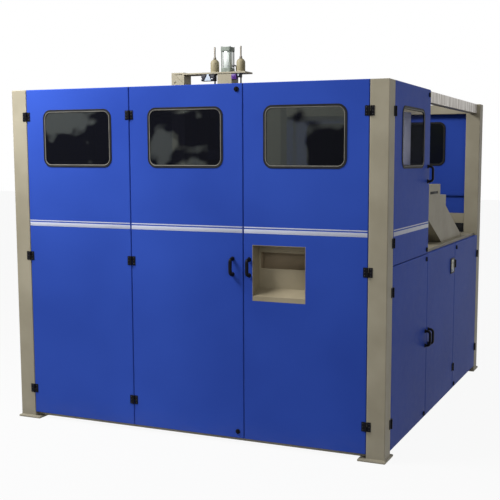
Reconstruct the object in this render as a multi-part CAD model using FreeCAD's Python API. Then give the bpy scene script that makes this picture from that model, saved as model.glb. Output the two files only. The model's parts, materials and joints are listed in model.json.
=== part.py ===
"""Two-cavity stretch blow moulding machine in its guard cabinet.

Millimetres. The origin is on the floor under the middle of the cabinet, the doors with the
outlet pocket face -Y, the open side bay faces +X and +Z is up.

A wall piece is drawn on the front wall, where u runs along the wall from its left edge, v runs
inwards from the face of the posts and z runs up from the floor. on_wall() then turns it to the
wall that it belongs to.
"""
import FreeCAD, Part
import math
import os

V = FreeCAD.Vector

# ---- cabinet ----
WIDTH = 2260.0
DEPTH = 2340.0
HEIGHT = 1920.0
POST = 100.0
POST_WALL = 4.0
FOOT = 150.0
FOOT_THICK = 12.0
FOOT_OUT = 18.0
FOOT_SIDE = 8.0
BEAM_DEEP = 50.0
BEAM_WALL = 4.0
BEAM_BEHIND_PANS = 1.0
TOP_BEAM_HIGH = 65.0
BASE_BEAM_LOW = 15.0
BASE_BEAM_HIGH = 80.0
DECK_BEAM_HIGH = 60.0
DECK_BELOW_TOP = 910.0
DECK_THICK = 10.0
DECK_FRONT = 300.0
REAR_RAIL_ABOVE_DECK = 65.0
REAR_RAIL_HIGH = 70.0

# ---- folded sheet doors and panels ----
SKIN = 2.0
PAN_DEEP = 24.0
PAN_LIP = 12.0
PAN_BEND = 3.0
SEAM = 4.0
DOOR_BOTTOM = 35.0
SIDE_SEAM_BELOW_DECK = 15.0
REAR_SEAM_ABOVE_DECK = 275.0
REAR_STRIP_ABOVE_DECK = 100.0
STIFFENER_WIDE = 60.0
STIFFENER_DEEP = 18.0
LOW_STIFFENER_BELOW_DECK = 410.0
HIGH_STIFFENER_BELOW_WINDOW = 183.0

# ---- windows ----
WINDOW_WIDE = 456.0
WINDOW_HIGH = 322.0
WINDOW_BELOW_TOP = 115.0
WINDOW_CORNER = 50.0
CORNER_STEPS = 3
GASKET_WIDE = 16.0
GASKET_LAP = 10.0
GASKET_PROUD = 3.0
PANE_THICK = 4.0
REAR_WINDOW_SHIFT = 50.0

# ---- hinges, handles and quarter-turn latches ----
LEAF_WIDE = 25.0
LEAF_THICK = 2.5
HINGE_HIGH = 50.0
KNUCKLE = 9.0
HINGE_PIN = 4.4
RUNNING = 0.05
AIR = 0.3
HINGE_BELOW_TOP = 152.0
HINGE_BELOW_DECK = 40.0
HINGE_ABOVE_SEAM = 117.0
HINGE_BELOW_SEAM = 133.0
LOW_HINGE_Z = 180.0
HANDLE_HIGH = 95.0
HANDLE_OUT = 38.0
HANDLE_ROD = 15.0
HANDLE_BEND = 18.0
HANDLE_PAD = 24.0
HANDLE_PAD_THICK = 3.0
FRONT_HANDLE_Z = 966.0
UPPER_HANDLE_BELOW_WINDOW = 33.0
LOWER_HANDLE_BELOW_DECK = 505.0
HANDLE_FROM_SEAM = 34.0
UPPER_HANDLE_FROM_SEAM = 45.0
WIDE_HANDLE_FROM_SEAM = 63.0
KNOB = 27.0
KNOB_PROUD = 8.0
WING_HIGH = 4.0
WING_THICK = 5.0
SPINDLE = 7.0
SPINDLE_HOLE = 10.0
TONGUE_LONG = 30.0
TONGUE_WIDE = 10.0
TONGUE_THICK = 4.0
TONGUE_FACE = 14.0
STRIKE_NEAR = 8.0
STRIKE_THICK = 4.0
STRIKE_GAP = 0.5
KEEPER_WIDE = 16.0
KEEPER_BLOCK = 5.5
KEEPER_FOOT = 6.0
LATCH_FROM_SEAM = 36.0
LATCH_BELOW_TOP = 30.0
LATCH_ABOVE_DECK = 10.0
LATCH_BELOW_DECK = 45.0
FRONT_LOW_LATCH_Z = 72.0
LOWER_LOW_LATCH_Z = 60.0

# ---- outlet pocket in the right front door ----
POCKET_FROM_SEAM = 52.7
POCKET_WIDE = 299.0
POCKET_BELOW_WINDOW = 693.0
POCKET_HIGH = 295.0
POCKET_DEEP = 85.0
POCKET_LIP = 25.0
POCKET_RISE = 35.0
POCKET_BACK_HIGH = 165.0
POCKET_SLOT_HIGH = 85.0
POCKET_SHEET = 2.0
POCKET_FLANGE = 12.0

# ---- panel meter ----
METER = 96.0
METER_FROM_SEAM = 82.0
METER_BELOW_DECK = 153.0
METER_PROUD = 8.0
METER_DEEP = 60.0
METER_RIM = 10.0
METER_SUNK = 3.0
METER_BODY_INSET = 3.0

# ---- side chute and its hopper ----
CHUTE_FACE = 60.0
CHUTE_WIDE = 300.0
CHUTE_SHEET = 3.0
CHUTE_SLOPE = 25.0
CHUTE_DEEP = 250.0
CHUTE_FOOT_END = 1985.0
CHUTE_FRONT = 1060.0
CHUTE_STEP_END = 1495.0
CHUTE_STEP_HIGH = 298.0
HOPPER_END = 1338.0
HOPPER_HIGH = 71.0
HOPPER_SLOT_LOW = 14.0
HOPPER_SLOT_HIGH = 16.0
HOPPER_SLOT_START = 20.0
HOPPER_SLOT_STOP = 60.0

# ---- operator console ----
CONSOLE_X = 2040.0
CONSOLE_Y = 640.0
CONSOLE_WIDE = 300.0
CONSOLE_THICK = 80.0
CONSOLE_ABOVE_DECK = 490.0
CONSOLE_HIGH = 288.0
CONSOLE_EDGE = 6.0
CONSOLE_TURN = -14.0
CONSOLE_POST = 50.0
CONSOLE_BASE = 130.0
CONSOLE_BASE_THICK = 8.0
SCREEN_LEFT = 36.0
SCREEN_WIDE = 93.0
SCREEN_UP = 150.0
SCREEN_HIGH = 90.0
SCREEN_SUNK = 4.0

# ---- blow station: clamp and moulds ----
STATION_X = 892.0
STATION_Y = 1000.0
CAVITY_PITCH = 184.0
CLAMP_ABOVE_DECK = 300.0
MOULD_WIDE = 340.0
MOULD_HIGH = 260.0
MOULD_THICK = 90.0
MOULD_GAP = 0.6
PLATEN_WIDE = 480.0
PLATEN_HIGH = 350.0
PLATEN_THICK = 40.0
MOULD_TRAVEL = 110.0
END_PLATE_THICK = 40.0
END_CLEAR = 20.0
END_FOOT_OUT = 110.0
END_FOOT_IN = 30.0
END_FOOT_THICK = 20.0
END_RIB_THICK = 20.0
END_RIB_X = 150.0
TIE_BAR_R = 20.0
TIE_BAR_X = 205.0
TIE_BAR_DOWN = 145.0
TIE_NUT = 55.0
TIE_NUT_THICK = 25.0
GUIDE_HALF = 30.0
GUIDE_CLEAR = 2.0
CLAMP_WALL = 12.0
CLAMP_BODY = 120.0
CLAMP_BODY_EDGE = 12.0
CLAMP_CYL_LONG = 170.0
CLAMP_ROD_R = 25.0
ROD_CLEAR = 2.0
RAM_END_GAP = 2.0
BOTTLE_R = 33.0
BOTTLE_BODY = 130.0
BOTTLE_SHOULDER = 45.0
NECK_R = 13.0
NECK_LONG = 25.0
CAVITY_SIDES = 16

# ---- stretch and blow units above the moulds ----
GANTRY_POST = 94.0
GANTRY_LEFT = 554.0
GANTRY_RIGHT = 1231.0
GANTRY_WALL = 5.0
GANTRY_FOOT_OUT = 30.0
GANTRY_FOOT_THICK = 12.0
GANTRY_ABOVE_TOP = 164.0
GANTRY_RIGHT_ABOVE_TOP = 20.0
BRACKET_EDGE = 12.0
BRACKET_RIB = 16.0
BRACKET_HOLE = 14.0
BRIDGE_BELOW_TOP = 25.0
BRIDGE_THICK = 20.0
BRIDGE_DEEP = 160.0
BRIDGE_SLOT = 26.0
ROOF_PLATE_ABOVE_TOP = 158.0
ROOF_PLATE_THICK = 10.0
ROOF_PLATE_DEEP = 110.0
ROOF_PLATE_RIGHT = 1040.0
ROOF_TUBE = 100.0
ROOF_TUBE_WALL = 6.0
STRETCH_BODY = 56.0
STRETCH_BODY_HIGH = 60.0
STRETCH_NECK = 22.0
STRETCH_SHOULDER_HIGH = 24.0
STRETCH_NECK_HIGH = 14.0
STRETCH_SIDES = 12
STRETCH_ROD = 12.0
STRETCH_STROKE = 240.0
STRETCH_END_GAP = 12.0
CROSSBAR_DROP = 13.0
CROSSBAR_THICK = 28.0
CROSSBAR_DEEP = 60.0
CROSSBAR_PAST = 40.0
BLOW_CYLINDER_HIGH = 162.0
BLOW_TUBE_R = 35.0
BLOW_CAP = 80.0
BLOW_CAP_HIGH = 28.0
BLOW_CAP_EDGE = 8.0
BLOW_END_WALL = 14.0
BLOW_TIE = 9.0
BLOW_TIE_INSET = 8.0
BLOW_PORT = 12.0
BLOW_PORT_OUT = 8.0
BLOW_PORT_Z = 14.0
BLOW_ROD_R = 10.0
BLOW_HEAD_HIGH = 60.0
BLOW_HEAD_DEEP = 80.0
BLOW_HEAD_PAST = 36.0
BLOW_STROKE = 54.0
NOZZLE_GAP = 2.0
NOZZLE_R = 16.0
NOZZLE_LONG = 34.0
VALVE_DEEP = 36.0
VALVE_LONG = 96.0
VALVE_HIGH = 44.0
MID_VALVE_LONG = 34.0
MID_VALVE_HIGH = 38.0
END_VALVE_LONG = 22.0
END_VALVE_HIGH = 26.0
HOSE = 8.0
HOSE_BEND = 12.0

# ---- oven and control cabinet ----
OVEN_LEFT = 560.0
OVEN_LONG = 1150.0
OVEN_FRONT = 1560.0
OVEN_DEEP = 260.0
OVEN_HIGH = 380.0
OVEN_WALL = 30.0
OVEN_FOOT_HIGH = 70.0
OVEN_FOOT_WIDE = 60.0
OVEN_FOOT_INSET = 20.0
LAMP = 11.0
LAMP_COUNT = 6
LAMP_FROM_WALL = 22.0
LAMP_INSET = 40.0
LAMP_FROM_FLOOR = 20.0
LAMP_BLOCK = 18.0
CABINET_LEFT = 260.0
CABINET_WIDE = 800.0
CABINET_FRONT = 1500.0
CABINET_DEEP = 500.0
CABINET_BELOW_DECK = 135.0
CABINET_WALL = 3.0
CABINET_DOOR_THICK = 20.0
CABINET_RAIL = 40.0
CABINET_RAIL_INSET = 30.0

# ---- what follows from them ----
FRONT_CELL = (WIDTH - 2 * POST) / 3
SIDE_CELL = (DEPTH - 2 * POST) / 3
FRONT_SEAMS = [POST + i * FRONT_CELL for i in range(4)]
SIDE_SEAMS = [POST + i * SIDE_CELL for i in range(4)]
BEAM_SET_BACK = PAN_DEEP + BEAM_BEHIND_PANS
DECK_TOP = HEIGHT - DECK_BELOW_TOP
DECK_LOW = DECK_TOP - DECK_THICK
SIDE_SEAM_Z = DECK_TOP - SIDE_SEAM_BELOW_DECK
REAR_SEAM_Z = DECK_TOP + REAR_SEAM_ABOVE_DECK
REAR_STRIP_LOW = DECK_TOP + REAR_STRIP_ABOVE_DECK
WINDOW_LOW = HEIGHT - WINDOW_BELOW_TOP - WINDOW_HIGH
LOW_STIFFENER_Z = DECK_TOP - LOW_STIFFENER_BELOW_DECK
HIGH_STIFFENER_Z = WINDOW_LOW - HIGH_STIFFENER_BELOW_WINDOW
UPPER_HANDLE_Z = WINDOW_LOW - UPPER_HANDLE_BELOW_WINDOW
LOWER_HANDLE_Z = DECK_TOP - LOWER_HANDLE_BELOW_DECK
METER_Z = DECK_TOP - METER_BELOW_DECK
POCKET_LOW = WINDOW_LOW - POCKET_BELOW_WINDOW
POCKET_BACK_TOP = POCKET_LOW + POCKET_BACK_HIGH
FRONT_HINGE_Z = (HEIGHT - HINGE_BELOW_TOP, DECK_TOP - HINGE_BELOW_DECK, LOW_HINGE_Z)
UPPER_HINGE_Z = (HEIGHT - HINGE_BELOW_TOP, SIDE_SEAM_Z + HINGE_ABOVE_SEAM)
LOWER_HINGE_Z = (SIDE_SEAM_Z - HINGE_BELOW_SEAM, LOW_HINGE_Z)
TOP_LATCH_Z = HEIGHT - LATCH_BELOW_TOP
DECK_LATCH_Z = DECK_TOP + LATCH_ABOVE_DECK
LOWER_TOP_LATCH_Z = DECK_TOP - LATCH_BELOW_DECK
NEAR_LATCH = SIDE_SEAMS[1] - LATCH_FROM_SEAM
FAR_LATCH = SIDE_SEAMS[2] + LATCH_FROM_SEAM
FRONT_LATCH = FRONT_SEAMS[2] - LATCH_FROM_SEAM
KNUCKLE_REACH = KNUCKLE / 2 / math.cos(math.pi / 6)
AXIS_OUT = KNUCKLE_REACH + AIR
EYE_CORNERS = [math.radians(240 + 60 * k) for k in range(6)]
TONGUE_REACH = math.hypot(TONGUE_LONG, TONGUE_WIDE) / 2 + STRIKE_GAP
POCKET_LEFT = FRONT_SEAMS[2] + POCKET_FROM_SEAM
METER_U = SIDE_SEAMS[2] - METER_FROM_SEAM
CHUTE_RIGHT = WIDTH - CHUTE_FACE
CHUTE_LEFT = CHUTE_RIGHT - CHUTE_WIDE
CHUTE_STEP_TOP = DECK_TOP + CHUTE_STEP_HIGH
CHUTE_RISE = math.tan(math.radians(CHUTE_SLOPE))
CHUTE_SQUARE = math.cos(math.radians(CHUTE_SLOPE))
CONSOLE_LOW = DECK_TOP + CONSOLE_ABOVE_DECK
CLAMP_Z = DECK_TOP + CLAMP_ABOVE_DECK
PARTING = MOULD_GAP / 2
PLATEN_FACE = PARTING + MOULD_THICK
PLATEN_BACK = PLATEN_FACE + PLATEN_THICK
END_FACE = PLATEN_BACK + MOULD_TRAVEL + END_CLEAR
END_BACK = END_FACE + END_PLATE_THICK
TIE_BAR_Z = CLAMP_Z - TIE_BAR_DOWN
MOULD_TOP = CLAMP_Z + MOULD_HIGH / 2
CAVITY_LOW = MOULD_TOP - NECK_LONG - BOTTLE_SHOULDER - BOTTLE_BODY
CAVITIES = (STATION_X - CAVITY_PITCH / 2, STATION_X + CAVITY_PITCH / 2)
BLOW_HEAD_LOW = MOULD_TOP + NOZZLE_GAP + BLOW_STROKE + NOZZLE_LONG
BRIDGE_LOW = HEIGHT - BRIDGE_BELOW_TOP
BRIDGE_TOP = BRIDGE_LOW + BRIDGE_THICK
ROOF_PLATE_TOP = HEIGHT + ROOF_PLATE_ABOVE_TOP
ROOF_PLATE_LOW = ROOF_PLATE_TOP - ROOF_PLATE_THICK
STRETCH_TIP = CAVITY_LOW + STRETCH_END_GAP + STRETCH_STROKE
CROSSBAR_TOP = BRIDGE_LOW - CROSSBAR_DROP
CROSSBAR_LOW = CROSSBAR_TOP - CROSSBAR_THICK
BLOW_TOP = ROOF_PLATE_TOP + BLOW_CYLINDER_HIGH
BLOW_PORT_UP = ROOF_PLATE_TOP + BLOW_CAP_HIGH + BLOW_PORT_Z


def box(x0, x1, y0, y1, z0, z1):
    return Part.makeBox(x1 - x0, y1 - y0, z1 - z0, V(x0, y0, z0))


def rod(x, y, z, r, long, along="z"):
    """A round bar from (x, y, z) in the direction of an axis."""
    way = {"x": V(1, 0, 0), "y": V(0, 1, 0), "z": V(0, 0, 1), "-y": V(0, -1, 0)}[along]
    return Part.makeCylinder(r, long, V(x, y, z), way)


def tube_box(x0, x1, y0, y1, z0, z1, wall, along):
    """A square tube, open at both ends along one axis."""
    gx, gy, gz = [0 if axis == along else wall for axis in "xyz"]
    inner = box(x0 + gx, x1 - gx, y0 + gy, y1 - gy, z0 + gz, z1 - gz)
    return box(x0, x1, y0, y1, z0, z1).cut(inner)


def flat_face(points):
    return Part.Face(Part.makePolygon(points + [points[0]]))


def prism(points, push):
    """The flat outline through the points, pushed along a vector."""
    return flat_face([V(*p) for p in points]).extrude(push)


def even_ring(x, y, z, across, along, sides):
    """The corners of a regular outline, square to an axis. across is the size over two flats."""
    ring = []
    for k in range(sides):
        a = math.pi * (2 * k + 1) / sides
        r = across / 2 / math.cos(math.pi / sides)
        p, q = r * math.cos(a), r * math.sin(a)
        ring.append({"x": (x, y + p, z + q), "y": (x + p, y, z + q), "z": (x + p, y + q, z)}[along])
    return ring


def even_bar(x, y, z, across, long, along="z", sides=6):
    """A bar with flats all round, for a small round that repeats."""
    push = {"x": V(long, 0, 0), "y": V(0, long, 0), "z": V(0, 0, long)}[along]
    return prism(even_ring(x, y, z, across, along, sides), push)


def even_wire(x, y, z, across, along, sides):
    corners = [V(*p) for p in even_ring(x, y, z, across, along, sides)]
    return Part.makePolygon(corners + [corners[0]])


def tapered(low, high):
    """A body with flat sides between a lower and an upper outline of as many corners."""
    low, high = [V(*p) for p in low], [V(*p) for p in high]
    faces = [flat_face(low), flat_face(high)]
    for k in range(len(low)):
        faces.append(flat_face([low[k - 1], low[k], high[k], high[k - 1]]))
    return Part.makeSolid(Part.makeShell(faces))


def nosed_bar(ring, middle, push):
    """A bar with flats, whose first side is turned round the bar's own middle."""
    corners = [V(*p) for p in ring]
    half_way = (corners[0] + corners[1]) / 2 - middle
    crown = middle + half_way.normalize() * corners[0].distanceToPoint(middle)
    edges = [Part.Arc(corners[0], crown, corners[1]).toShape()]
    edges += [Part.makeLine(corners[k - 1], corners[k]) for k in range(2, len(corners))]
    edges.append(Part.makeLine(corners[-1], corners[0]))
    return Part.Face(Part.Wire(edges)).extrude(push)


def window_plate(u0, u1, z0, z1, radius, v0, v1):
    """A plate in the wall's plane, from depth v0 to v1, with corners that turn in short steps."""
    points = []
    for cu, cz, start in ((u1, z1, 0), (u0, z1, 90), (u0, z0, 180), (u1, z0, 270)):
        mid_u = cu - radius if cu == u1 else cu + radius
        mid_z = cz - radius if cz == z1 else cz + radius
        for k in range(CORNER_STEPS + 1):
            a = math.radians(start + 90 * k / CORNER_STEPS)
            points.append((mid_u + radius * math.cos(a), v0, mid_z + radius * math.sin(a)))
    return prism(points, V(0, v1 - v0, 0))


def fuse(pieces):
    whole = pieces[0]
    for piece in pieces[1:]:
        whole = whole.fuse(piece)
    return whole.removeSplitter()


def on_wall(shape, wall):
    """Moves a piece that is drawn on the front wall to its own wall, in the part's frame."""
    turns = {"front": (0, V(-WIDTH / 2, -DEPTH / 2, 0)), "right": (90, V(WIDTH / 2, -DEPTH / 2, 0)),
             "rear": (180, V(WIDTH / 2, DEPTH / 2, 0)), "left": (-90, V(-WIDTH / 2, DEPTH / 2, 0))}
    angle, corner = turns[wall]
    moved = shape.copy()
    turn = FreeCAD.Placement(corner, FreeCAD.Rotation(V(0, 0, 1), angle))
    moved.Placement = turn.multiply(moved.Placement)
    return moved


def inside(shape):
    """Moves a piece that is drawn from the cabinet's front left corner to the part's frame."""
    return on_wall(shape, "front")


def save(node, pieces):
    solids = [s for piece in pieces for s in piece.Solids]
    shape = solids[0] if len(solids) == 1 else Part.makeCompound(solids)
    shape.exportStep("parts/" + node + ".step")
    faults = [i for i, s in enumerate(solids) if not s.isValid()]
    note = f" FAULT {faults}" if faults else ""
    print(f"{node:24s} {len(solids):3d} solids {shape.Volume / 1e6:9.3f} dm3{note}")


# ---------------------------------------------------------------- cabinet frame

def post(left, front):
    """A capped square tube on its own foot plate; the plate reaches past the front or rear face."""
    u0 = 0 if left else WIDTH - POST
    v0 = 0 if front else DEPTH - POST
    tube = box(u0, u0 + POST, v0, v0 + POST, FOOT_THICK, HEIGHT)
    t = POST_WALL
    tube = tube.cut(box(u0 + t, u0 + POST - t, v0 + t, v0 + POST - t, FOOT_THICK, HEIGHT - t))
    f0 = -FOOT_SIDE if left else WIDTH + FOOT_SIDE - FOOT
    g0 = -FOOT_OUT if front else DEPTH + FOOT_OUT - FOOT
    return fuse([box(f0, f0 + FOOT, g0, g0 + FOOT, 0, FOOT_THICK), tube])


def wall_beam(span, z0, high):
    """A beam between two posts, set back behind the doors."""
    v0 = BEAM_SET_BACK
    return tube_box(POST, span - POST, v0, v0 + BEAM_DEEP, z0, z0 + high, BEAM_WALL, "x")


def keeper(u, z, way):
    """A strike that a latch's tongue turns behind, on a block that stands on the beam's face."""
    half = KEEPER_WIDE / 2
    back = TONGUE_FACE - STRIKE_GAP
    end = z + way * (TONGUE_REACH + KEEPER_BLOCK)
    z0, z1 = sorted((z + way * STRIKE_NEAR, end))
    strike = box(u - half, u + half, back - STRIKE_THICK, back, z0, z1)
    z0, z1 = sorted((z + way * TONGUE_REACH, end))
    return [strike, box(u - half, u + half, back, BEAM_SET_BACK, z0, z1)]


def beams():
    """Top, deck and base rings, the rail over the rear gap, the deck edge's beam and the keepers."""
    top = (HEIGHT - TOP_BEAM_HIGH, TOP_BEAM_HIGH)
    deck = (DECK_LOW - DECK_BEAM_HIGH, DECK_BEAM_HIGH)
    base = (BASE_BEAM_LOW, BASE_BEAM_HIGH)
    pieces = []
    for span, wall, rings in ((WIDTH, "front", (top, base)), (DEPTH, "right", (top, deck, base)),
                              (DEPTH, "left", (top, deck, base)), (WIDTH, "rear", (top, deck, base))):
        pieces += [on_wall(wall_beam(span, *ring), wall) for ring in rings]
    rail = wall_beam(WIDTH, DECK_TOP + REAR_RAIL_ABOVE_DECK, REAR_RAIL_HIGH)
    pieces.append(on_wall(rail, "rear"))
    reach = BEAM_SET_BACK + BEAM_DEEP
    edge = tube_box(reach, WIDTH - reach, DECK_FRONT, DECK_FRONT + BEAM_DEEP, deck[0], DECK_LOW,
                    BEAM_WALL, "x")
    pieces.append(inside(edge))
    front = keeper(FRONT_LATCH, TOP_LATCH_Z, -1) + keeper(FRONT_LATCH, FRONT_LOW_LATCH_Z, 1)
    side = keeper(NEAR_LATCH, TOP_LATCH_Z, -1) + keeper(NEAR_LATCH, DECK_LATCH_Z, 1)
    for u in (NEAR_LATCH, FAR_LATCH):
        side += keeper(u, LOWER_TOP_LATCH_Z, -1) + keeper(u, LOWER_LOW_LATCH_Z, 1)
    half = KEEPER_WIDE / 2
    side.append(box(NEAR_LATCH - half, NEAR_LATCH + half, BEAM_SET_BACK, BEAM_SET_BACK + KEEPER_FOOT,
                    DECK_TOP, DECK_LATCH_Z + TONGUE_REACH + KEEPER_BLOCK))
    return pieces + [on_wall(s, "front") for s in front] + [on_wall(s, "right") for s in side]


def deck_plate():
    """The table that carries the machine, notched round the rear posts and open under the chute."""
    edge = BEAM_SET_BACK
    plate = box(edge, WIDTH - edge, DECK_FRONT, DEPTH - edge, DECK_LOW, DECK_TOP)
    notch = POST + AIR
    for u0 in (0, WIDTH - notch):
        plate = plate.cut(box(u0, u0 + notch, DEPTH - notch, DEPTH, DECK_LOW, DECK_TOP))
    mouth_front, mouth_rear = chute_mouth()
    t = CHUTE_SHEET
    plate = plate.cut(box(CHUTE_LEFT + t, CHUTE_RIGHT - t, mouth_front, mouth_rear, DECK_LOW, DECK_TOP))
    return inside(plate)


# ---------------------------------------------------------------- doors and panels

def sheet_tray(u0, u1, z0, z1, deep):
    """A folded sheet: a skin with its four edges bent inwards."""
    tray = box(u0, u1, 0, deep, z0, z1)
    front = [e for e in tray.Edges if all(abs(p.Y) < 1e-6 for p in e.Vertexes)]
    tray = tray.makeChamfer(PAN_BEND, front)
    return tray.cut(box(u0 + SKIN, u1 - SKIN, SKIN, deep, z0 + SKIN, z1 - SKIN))


def pan(u0, u1, z0, z1, stiffen=()):
    """A door tray: a folded sheet with a lip turned in along all four sides and welded stiffeners."""
    tray = sheet_tray(u0, u1, z0, z1, PAN_DEEP)
    a0, a1 = u0 + SKIN, u1 - SKIN
    lip = box(a0, a1, PAN_DEEP - SKIN, PAN_DEEP, z0 + SKIN, z1 - SKIN)
    inset = SKIN + PAN_LIP
    lip = lip.cut(box(u0 + inset, u1 - inset, PAN_DEEP - SKIN, PAN_DEEP, z0 + inset, z1 - inset))
    tray = fuse([tray, lip])
    half = STIFFENER_WIDE / 2
    for z in stiffen:
        channel = box(a0, a1, SKIN, STIFFENER_DEEP, z - half, z + half)
        inner = box(a0, a1, SKIN, STIFFENER_DEEP - SKIN, z - half + SKIN, z + half - SKIN)
        tray = tray.fuse(channel.cut(inner))
    return tray


def cell(seams, first, last):
    """Where a door between two seams begins and ends."""
    return seams[first] + SEAM / 2, seams[last] - SEAM / 2


def window_hole(middle, v0, v1, inset):
    """The window's outline, drawn in from the gasket's outer edge."""
    u0, u1 = middle - WINDOW_WIDE / 2 + inset, middle + WINDOW_WIDE / 2 - inset
    z0, z1 = WINDOW_LOW + inset, WINDOW_LOW + WINDOW_HIGH - inset
    return window_plate(u0, u1, z0, z1, WINDOW_CORNER - inset, v0, v1)


def window(middle):
    """A pane seated in the skin's hole, under a rubber gasket that laps both."""
    gasket = window_hole(middle, -GASKET_PROUD, 0, 0)
    gasket = gasket.cut(window_hole(middle, -GASKET_PROUD, 0, GASKET_WIDE))
    return [gasket, window_hole(middle, 0, PANE_THICK, GASKET_LAP)]


def leaf(u, z, way, z0, z1):
    """One hinge leaf: a plate beside the seam, and an eye from z0 to z1 with a round outer side."""
    near = KNUCKLE_REACH + 2 * AIR
    start, end = sorted((u + way * near, u + way * LEAF_WIDE))
    plate = box(start, end, -LEAF_THICK, 0, z - HINGE_HIGH / 2, z + HINGE_HIGH / 2)
    start, end = sorted((u + way * AIR, u + way * near))
    web = box(start, end, -LEAF_THICK, 0, z + z0, z + z1)
    reach = KNUCKLE_REACH
    ring = [(u + reach * math.cos(a), -AXIS_OUT + reach * math.sin(a), z + z0) for a in EYE_CORNERS]
    eye = nosed_bar(ring, V(u, -AXIS_OUT, z + z0), V(0, 0, z1 - z0))
    return fuse([plate, web, eye])


def hinge(u, z, way):
    """A lift-off hinge on a seam: the lower leaf stays and holds the pin, the upper one swings."""
    end = HINGE_HIGH / 2
    pin = even_bar(u, -AXIS_OUT, z - end, HINGE_PIN, HINGE_HIGH)
    stays = fuse([leaf(u, z, -way, -end, -AIR / 2), pin])
    bore = even_bar(u, -AXIS_OUT, z, HINGE_PIN / math.cos(math.pi / 6) + 2 * RUNNING, end)
    return stays, leaf(u, z, way, AIR / 2, end).cut(bore)


def hinges(u, heights, way):
    """The hinges of one seam. way is +1 where the swinging leaf lies at greater u."""
    pairs = [hinge(u, z, way) for z in heights]
    return [p[0] for p in pairs], [p[1] for p in pairs]


def bow_handle(u, z):
    """A bar bent into a bow, on two pads."""
    half = (HANDLE_HIGH - HANDLE_ROD) / 2
    out = -HANDLE_OUT + HANDLE_ROD / 2
    low, high = z - half, z + half
    foot = -HANDLE_PAD_THICK
    bend = out + HANDLE_BEND
    line = [(foot, low), (bend, low), (out, low + HANDLE_BEND), (out, high - HANDLE_BEND),
            (bend, high), (foot, high)]
    path = Part.makePolygon([V(u, v, h) for v, h in line])
    bow = path.makePipeShell([even_wire(u, foot, low, HANDLE_ROD, "y", 8)], True, True, 1)
    pads = [even_bar(u, foot, h, HANDLE_PAD, HANDLE_PAD_THICK, "y") for h in (low, high)]
    return fuse([bow] + pads)


def latch(u, z):
    """A quarter-turn latch: a knob, its wing, its square spindle and the tongue inside the door."""
    knob_v = -KNOB_PROUD + WING_HIGH
    ring = even_ring(u, knob_v, z, KNOB, "y", 8)
    knob = nosed_bar(ring, V(u, knob_v, z), V(0, -knob_v, 0))
    wing_z = KNOB / 2 - AIR
    half = WING_THICK / 2
    wing = box(u - half, u + half, -KNOB_PROUD, knob_v, z - wing_z, z + wing_z)
    half = SPINDLE / 2
    spindle = box(u - half, u + half, 0, TONGUE_FACE, z - half, z + half)
    half_u, half_z = TONGUE_LONG / 2, TONGUE_WIDE / 2
    tongue = box(u - half_u, u + half_u, TONGUE_FACE, TONGUE_FACE + TONGUE_THICK, z - half_z, z + half_z)
    return [knob, wing, spindle, tongue]


def spindle_hole(u, z):
    half = SPINDLE_HOLE / 2
    return box(u - half, u + half, 0, PAN_DEEP, z - half, z + half)


def outlet_pocket():
    """The folded tray in the right door where finished bottles arrive and are picked out."""
    u0, u1 = POCKET_LEFT, POCKET_LEFT + POCKET_WIDE
    z0, z1 = POCKET_LOW, POCKET_LOW + POCKET_HIGH
    t, deep = POCKET_SHEET, POCKET_DEEP
    floor_z = z0 + POCKET_LIP
    outer = [(u0, 0, z0), (u0, 0, z1), (u0, deep, z1), (u0, deep, floor_z + POCKET_RISE - t),
             (u0, t, floor_z - t), (u0, t, z0)]
    inner = [(u0 + t, 0, floor_z), (u0 + t, 0, z1 - t), (u0 + t, deep - t, z1 - t),
             (u0 + t, deep - t, floor_z + POCKET_RISE), (u0 + t, t, floor_z)]
    tray = prism(outer, V(u1 - u0, 0, 0)).cut(prism(inner, V(u1 - u0 - 2 * t, 0, 0)))
    f = POCKET_FLANGE
    slot = box(u0 + f, u1 - f, deep - 2 * t, deep + t, POCKET_BACK_TOP, POCKET_BACK_TOP + POCKET_SLOT_HIGH)
    tray = tray.cut(slot)
    flange = box(u0 - f, u1 + f, SKIN, 2 * SKIN, z0 - f, z1 + f)
    flange = flange.cut(box(u0, u1, SKIN, 2 * SKIN, floor_z - t, z1))
    return fuse([tray, flange])


def panel_meter(u, z):
    """A square panel instrument: a bezel proud of the skin, its face set in, and its body behind."""
    h = METER / 2
    bezel = box(u - h, u + h, -METER_PROUD, 0, z - h, z + h)
    h -= METER_RIM
    bezel = bezel.cut(box(u - h, u + h, -METER_PROUD, -METER_PROUD + METER_SUNK, z - h, z + h))
    h = METER / 2 - METER_BODY_INSET
    return fuse([bezel, box(u - h, u + h, 0, METER_DEEP, z - h, z + h)])


def meter_hole(u, z):
    h = METER / 2 - METER_BODY_INSET + AIR
    return box(u - h, u + h, 0, SKIN, z - h, z + h)


def save_on(wall, node, pieces):
    save(node, [on_wall(piece, wall) for piece in pieces])


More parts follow.
